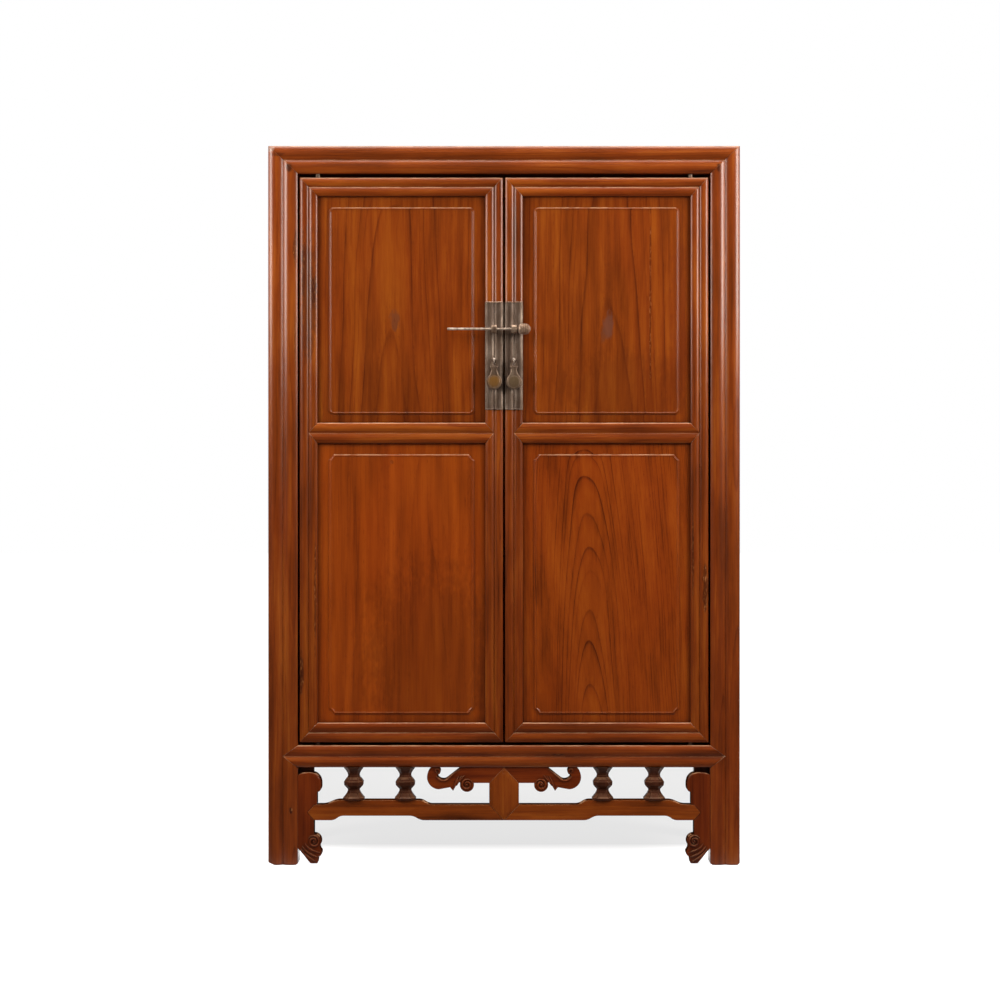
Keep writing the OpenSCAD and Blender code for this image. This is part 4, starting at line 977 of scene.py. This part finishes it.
def bracket():
    bm = bmesh.new()
    curl = (423.5, 52)
    nose = [(447, 205.5), (432, 206.5), (418, 203), (409.5, 194), (406.5, 184)]
    chin = [(406.5, 170), (410, 163.5)]
    outline(bm, (INNER_X, 36), (INNER_X, 200), *nose, *chin, (416.5, 161.5), (416.5, 134.2),
            (423.2, 134.2), (438.2, 116.5), (423.2, 98.8), (423.2, 68.5), (*curl, -128),
            (409.5, 36), (405, 29), (406.5, 21.5), (412.5, 18), (415, 3), (431, 3), (454, 31.6))
    round_off(bm, nose, 4, 3)
    round_off(bm, chin, 3, 3)
    round_off(bm, [(405, 29), (406.5, 21.5), (415, 3), (431, 3)], 2, 3)
    thicken(bm, BRACKET_T)
    lobe = [e for e in bm.edges
            if all(v.co.y < 0.01 and v.co.z > 168 and v.co.x < 457 for v in e.verts)]
    bmesh.ops.bevel(bm, geom=lobe, offset=5, segments=4, profile=0.5, affect="EDGES", material=-1)
    ease(bm, 0.8, 2, 42)
    carved(bm, arc_points(*curl, 13.8, 3.6, 60, -600, -1.0), 2.4)
    button(bm, *curl, 3.2)
    for start, bend, end in (((443, 48), (438, 33), (410, 27)), ((449, 42), (441, 25), (414, 17)),
                             ((452, 36), (440, 17), (420, 8))):
        vein = []
        for i in range(9):
            t = i / 8
            a, b, c = (1 - t) ** 2, 2 * t * (1 - t), t * t
            x, z = (a * start[k] + b * bend[k] + c * end[k] for k in (0, 1))
            vein.append((x, -0.8, z))
        carved(bm, vein, 2.3)
    shift(bm, y=APRON_Y)
    neck = block((425, APRON_Y + BRACKET_T / 2, 190), (INNER_X, APRON_Y + BRACKET_T, RAIL_Z))
    return join(bm, neck)


for side in ("left", "right"):
    for name, shape, node, wood, along in (
            ("stretcher_half", stretcher, "stretcher", APRON_ELM, "X"),
            ("scroll", cloud_scroll, "cloud_scroll", CARVED_ELM, "X"),
            ("post_bracket", bracket, "bracket", CARVED_ELM, "Z")):
        piece = finish(shape(), f"{name}_{side}", "carcass", wood, "elm_frame", f"{node}_{side}",
                       mirror=side == "left")
        from_log(piece, along)

# Block: a chamfered panel is cut into its face, and a peg holds it to the rail
bm = bmesh.new()
outline(bm, (0, RAIL_Z), (33, 182), (33, 134), (0, 99), (-33, 134), (-33, 182))
thicken(bm, APRON_T)
front = [f for f in bm.faces if f.normal.y < -0.9]
bmesh.ops.inset_region(bm, faces=front, thickness=1.2, use_even_offset=True)
bmesh.ops.inset_region(bm, faces=front, thickness=9.5, depth=3.4, use_even_offset=True)
ease(bm, 0.5, 2, 42)
place = Matrix.Translation((0.5, 1.0, 207)) @ Matrix.Rotation(math.radians(90), 4, "X")
bmesh.ops.create_cone(bm, cap_ends=True, segments=20, radius1=4.2, radius2=3.9, depth=6,
                      matrix=place)
shift(bm, y=APRON_Y)
from_log(finish(bm, "pointed_block", "carcass", APRON_ELM, "elm_frame", "centre_block"), "Z")

# Struts: a square stick with its corners taken off, then turned in and out like a vase
STRUT_HALVES = ((144, 23.6), (148.6, 23.6), (150, 22), (158, 16.2), (164.5, 13.2), (168, 13.2),
                (172.5, 17.2), (177, 21), (184.5, 21.6), (190, 18), (194.5, 14), (199, 12.8),
                (203.5, 13.6), (210, 17.4), (RAIL_Z, 22.5))
bm = bmesh.new()
for x in (-335, -220, 220, 335):
    half = 10.0
    square = bmesh.ops.create_circle(bm, cap_ends=True, segments=4, radius=half * math.sqrt(2),
                                     matrix=Matrix.Rotation(math.radians(45), 4, "Z"))["verts"]
    bmesh.ops.bevel(bm, geom=square, offset=4.4, segments=1, profile=0.5, affect="VERTICES",
                    material=-1)
    face = [f for f in bm.faces if abs(f.calc_center_median().x) < 1
            and f.calc_center_median().z < 1][0]
    strut = set(face.verts)
    for z, wider in STRUT_HALVES:
        if z > STRUT_HALVES[0][0]:
            made = bmesh.ops.extrude_face_region(bm, geom=[face])["geom"]
            face = [f for f in made if isinstance(f, bmesh.types.BMFace)][0]
        bmesh.ops.scale(bm, vec=(wider / half, wider / half, 1), verts=face.verts)
        bmesh.ops.translate(bm, vec=(0, 0, z - face.verts[0].co.z), verts=face.verts)
        strut |= set(face.verts)
        half = wider
    bmesh.ops.translate(bm, vec=(x, APRON_Y + APRON_T / 2, 0), verts=list(strut))
ease(bm, 0.5, 1, 25)
struts = finish(bm, "vase_struts", "carcass", DARK_ELM, "dark_elm", "balusters", smooth=14)
from_log(struts, "Z", heart=(0, 400))


# Brass
# Sheet and wrought brass, brown with age. Hands and the sliding pin have rubbed the ridges and
# the pin bright, and the discs of the pulls golden. Shanks through the stiles hold the knobs.
def brass(name, dull, bright, wear, rough, metal, edge, polished=()):
    """Aged brass: wear is how much of it is bright, edge how bright its edges are, from wear and
    from a painted highlight, and each polished place is a colour, x, z, and one or two radii"""
    material = bpy.data.materials.new(name)
    tree = empty_tree(material)
    place = add(tree, "TexCoord").outputs["Object"]
    cloud = cloudy(tree, place, (55, 55, 30), 4, 0.6)
    specks = cloudy(tree, place, (600, 600, 600), 3, 0.6)
    strokes = cloudy(tree, place, (900, 900, 25))
    rubbed = add(tree, "Math", cloud, 0.65, operation="MULTIPLY")
    rubbed = add(tree, "Math", specks, 0.35, rubbed, operation="MULTIPLY_ADD")
    rubbed = add(tree, "ValToRGB", rubbed, stops=[(0.52 - wear / 2, 0.0), (0.68 - wear / 3, 1.0)])
    tone = add(tree, "Mix", rubbed, colour(dull), colour(bright), data_type="RGBA")
    # Brown runs down the sheet where damp has followed the wood
    runs = add(tree, "ValToRGB", cloudy(tree, place, (110, 110, 6), 3),
               stops=[(0.42, 0.0), (0.6, 0.6)])
    tone = add(tree, "Mix", runs, tone, colour("8A7468"), data_type="RGBA", blend_type="MULTIPLY")
    for shine, x, z, radius, *tall in polished:
        there = add(tree, "VectorMath", place, (x, 0, z), operation="SUBTRACT")
        there = add(tree, "VectorMath", there, (1 / radius, 0, 1 / (*tall, radius)[0]),
                    operation="MULTIPLY")
        there = add(tree, "VectorMath", there, operation="LENGTH")
        there = add(tree, "MapRange", {"Value": there, "From Min": 1.1, "From Max": 0.55,
                                       "To Max": 0.75})
        tone = add(tree, "Mix", there, tone, colour(shine), data_type="RGBA")
    # Light edges: the brown skin rubbed thin there, and a painted highlight where the lamps would
    # glint on them
    edge_wear_and_glint = add(tree, "Math", edge_mask(tree, 0.0011), edge, operation="MULTIPLY")
    tone = add(tree, "Mix", edge_wear_and_glint, tone, colour("F0D0B8"), data_type="RGBA")
    # Painted shade: nearly black in the corners and round the pulls, knobs and hems, with some dirt
    # there too
    corner_shade_and_grime = add(tree, "AmbientOcclusion", {"Distance": 0.004}, samples=6).outputs["AO"]
    corner_shade_and_grime = add(tree, "ValToRGB", corner_shade_and_grime, stops=[(0.2, 1.0), (0.75, 0.0)])
    corner_shade_and_grime = add(tree, "Math", corner_shade_and_grime, 0.8, operation="MULTIPLY")
    tone = add(tree, "Mix", corner_shade_and_grime, tone, colour("140C06"), data_type="RGBA")
    roughness = add(tree, "Math", rubbed, -0.12, rough + 0.06, operation="MULTIPLY_ADD")
    height = add(tree, "Math", strokes, 0.1, cloud, operation="MULTIPLY_ADD")
    dents = add(tree, "Bump", {"Strength": 0.5, "Distance": 0.0004, "Height": height})
    surface = add(tree, "BsdfPrincipled", {"Base Color": tone, "Roughness": roughness,
                                           "Metallic": metal, "Normal": dents})
    add(tree, "OutputMaterial", {"Surface": surface})
    return material


# Brown skin of age over dull brass, thin on the edges and where the pin and the pulls rub. The
# two tall narrow places are painted highlights down the groove between the beads of each plate,
# just below the latch
AGED_BRASS = brass("aged_brass_brown", "765F4E", "988474", 0.1, 0.46, 0.45, 0.75, (
    ("E8BC9C", -0.022, 1.2524, 0.026, 0.0018), ("B08468", 0.022, 1.2524, 0.026, 0.0016),
    ("C4AC98", -0.0245, 1.162, 0.0022, 0.03), ("B09C88", 0.022, 1.15, 0.0018, 0.03)))
# Grey brown, with a disc that fingers lift: golden on the left pull, olive on the right one
WORN_BRASS = brass("worn_brass_golden", "866C58", "A88E78", 0.2, 0.36, 0.5, 0.8, (
    ("A8722A", -0.022, 1.075, 0.0155), ("7E6544", 0.022, 1.075, 0.0155)))
# Bright from sliding, darker on the head
BRIGHT_BRASS = brass("rubbed_brass_bright", "CCAE94", "EAD6C2", 0.4, 0.36, 0.3, 0.3,
                     (("9A7458", 0.0446, 1.191, 0.0175),))
# Knobs that the pin has rubbed
HANDLED_BRASS = brass("handled_brass_knobs", "947A64", "BCA088", 0.3, 0.3, 0.5, 0.6)
# Small round heads that every hand touches
POLISHED_BRASS = brass("polished_brass_heads", "D8BCA4", "F6E4D2", 0.4, 0.16, 0.45, 0.3)

PLATE_Z = 1013
PLATE_H = 240
PLATE_T = 1.2
KNOB_X = -22
LATCH_Y, LATCH_Z = -242.25, 1191
EYE_Y, EYE_Z = -230.95, 1122


def face_plate():
    """Sheet brass dressed over the two beads of the stile, with its edges turned in"""
    bm = bmesh.new()
    edges = outline(bm, (0, -DOOR_RISE), *two_beads(STILE, DOOR_RISE), closed=False)
    made = bmesh.ops.extrude_edge_only(bm, edges=edges)["geom"]
    bmesh.ops.translate(bm, vec=(0, PLATE_H, 0),
                        verts=[v for v in made if isinstance(v, bmesh.types.BMVert)])
    turn(bm, 90, "X")
    bmesh.ops.recalc_face_normals(bm, faces=bm.faces)
    if sum(f.normal.y for f in bm.faces) > 0:
        bmesh.ops.reverse_faces(bm, faces=bm.faces)
    profile = sorted((v.co.x, v.co.y) for v in bm.verts if v.co.z < 1)
    bmesh.ops.solidify(bm, geom=list(bm.faces), thickness=0.8)
    ease(bm, 0.25, 2, 60)
    for z in (0.9, PLATE_H - 0.9):
        hem = [(min(max(x, 0.8), STILE - 0.8), y - 0.5, z) for x, y in profile]
        ridge(bm, hem, [1.3] * len(hem))
    for x in (0.8, STILE - 0.8):
        ridge(bm, [(x, profile[0][1] - 0.6, z) for z in (0.4, PLATE_H - 0.4)], [0.9, 0.9])
    shift(bm, DOOR_X[1] - STILE, DOOR_Y - PLATE_T, PLATE_Z)
    return bm


def round_bar(bm, front_r, back_r, depth, place, segments, degrees=90, axis="X"):
    """A short round piece about a point, turned to lie along y or x"""
    turned = Matrix.Translation(place) @ Matrix.Rotation(math.radians(degrees), 4, axis)
    bmesh.ops.create_cone(bm, cap_ends=True, segments=segments, radius1=front_r, radius2=back_r,
                          depth=depth, matrix=turned)


def add_shank(bm, z, y):
    """Round shank, and its end bent over behind the stile"""
    back = DOOR_Y + DOOR_D
    round_bar(bm, 2, 2, back - y, (KNOB_X, (back + y) / 2, z), 16)
    bend = block((KNOB_X - 8, back, z - 2), (KNOB_X + 8, back + 1.6, z + 2))
    ease(bend, 0.6)
    join(bm, bend)


def lock_knob():
    """Bored block with a round nose, on a shank through the stile"""
    bm = bmesh.new()
    outline(bm, (-18.6, -5.5), (-18.6, 5.5), (-8, 5.5), (-7.4, 6.2), (0, 0, 278), (-7.4, -6.2),
            (-8, -5.5))
    thicken(bm, 12)
    turn(bm, -90, "Z")
    shift(bm, x=-6)
    ease(bm, 1.1, 3, 40)
    hole = bmesh.new()
    round_bar(hole, 3, 3, 30, (0, 0, 0), 28, axis="Y")
    bm = carve(bm, hole)
    shift(bm, KNOB_X, LATCH_Y, LATCH_Z)
    add_shank(bm, LATCH_Z, DOOR_Y + 2)
    return bm


def pull_eye():
    """Ring of wire that stands out from the plate, on a small round boss"""
    bm = bmesh.new()
    wire = bmesh.ops.create_circle(bm, segments=14, radius=1.4,
                                   matrix=Matrix.Translation((0, 4.6, 0)))["verts"]
    bmesh.ops.spin(bm, geom=wire + list(bm.edges), cent=(0, 0, 0), axis=(1, 0, 0),
                   angle=math.radians(360), steps=28, use_merge=True)
    bmesh.ops.create_uvsphere(bm, u_segments=20, v_segments=12, radius=2.7,
                              matrix=Matrix.Translation((0, -3.5, 3.3)))
    shift(bm, KNOB_X, EYE_Y, EYE_Z)
    add_shank(bm, EYE_Z, EYE_Y + 4.6)
    round_bar(bm, 3.2, 4.4, 1.6, (KNOB_X, -224.0, EYE_Z), 24, -90)
    return bm


def both_halves(depth, *points):
    """A flat piece from the right half of its outline"""
    bm = bmesh.new()
    outline(bm, *points, closed=False)
    bmesh.ops.mirror(bm, geom=list(bm.verts) + list(bm.edges), axis="X", merge_dist=0.05)
    bmesh.ops.contextual_create(bm, geom=list(bm.edges))
    return thicken(bm, depth)


def pull():
    """Flat vase: two ears, a waist and a round belly with a domed disc"""
    bm = both_halves(2.4, (0, 1.6), (0, -4.6, 60), (9.2, -11.6), (9.6, -13.2), (8.4, -15.4),
                     (6.8, -19), (6.8, -23), (9.6, -31), (15.6, -39.5), (0, -47, 115.7))
    shift(bm, y=-1.2)
    ease(bm, 0.6, 2, 40)
    hole = bmesh.new()
    points = [(-1.7, -2.7), (1.7, -2.7), (4.3, -10.6), (-4.3, -10.6)]
    outline(hole, *points)
    round_off(hole, points, 0.8, 3)
    thicken(hole, 8)
    shift(hole, y=-4)
    bm = carve(bm, hole)
    body = both_halves(1.4, (0, -12.4), (8.6, -12.8), (8.2, -15.4), (6.6, -19), (6.6, -23),
                       (9.4, -31), (15.2, -39.8), (0, -47, 115.35))
    front = [f for f in body.faces if f.normal.y < -0.9]
    for wide, rise in ((0.35, 0.7), (0.55, 0.45), (0.7, 0.25), (0.8, 0.08)):
        bmesh.ops.inset_region(body, faces=front, thickness=wide, depth=rise,
                               use_even_offset=True)
    shift(body, y=-2.0)
    join(bm, body)
    disc = Matrix.Translation((0, -3.2, -47)) @ Matrix.Diagonal((13.2, 1.6, 13.2, 1))
    bmesh.ops.create_uvsphere(bm, u_segments=32, v_segments=14, radius=1.0, matrix=disc)
    shift(bm, KNOB_X, EYE_Y, EYE_Z)
    return bm


for side in ("left", "right"):
    body, flip = f"door_{side}", side == "right"
    for name, shape, node, metal in (("brass_plate", face_plate, "face_plate", AGED_BRASS),
                                     ("lock_knob_bored", lock_knob, "lock_knob", HANDLED_BRASS),
                                     ("pull_ring", pull_eye, "pull_eye", POLISHED_BRASS)):
        finish(shape(), f"{side}_{name}", body, metal, "aged_brass", f"{body}_{node}", mirror=flip)
    finish(pull(), f"{side}_vase_pull", f"pull_{side}", WORN_BRASS, "worn_brass", f"pull_{side}",
           mirror=flip)
    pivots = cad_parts[f"{body}_pivots"].data.materials
    pivots.clear()
    pivots.append(AGED_BRASS)

# Sliding pin: a plain rod, a collar and a ribbed head with a nub at its end
bm = bmesh.new()
rod = [(-126, 0), (-126, 1.6), (-124.5, 2.8), (0, 2.4), (28.9, 2.3), (28.9, 3.8)]
head = [(31.9, 5.2), (32.4, 8.6), (34, 10.6), (36.2, 11.6), (37.2, 10.3), (38.2, 11.9),
        (40.8, 12.3), (41.9, 10.9), (43, 12.4), (45.6, 12.4), (46.7, 10.9), (47.8, 12.2),
        (50.2, 11.6), (51.2, 10.0), (52.2, 10.9), (55, 8.8), (57.4, 5.6), (58.6, 2.6), (58.9, 0)]
outline(bm, *rod, *head, closed=False)
bmesh.ops.spin(bm, geom=list(bm.verts) + list(bm.edges), cent=(0, 0, 0), axis=(1, 0, 0),
               angle=math.radians(360), steps=36, use_merge=True)
shift(bm, 0, LATCH_Y, LATCH_Z)
finish(bm, "sliding_pin", "latch_pin", BRIGHT_BRASS, "bright_brass", "latch_pin")
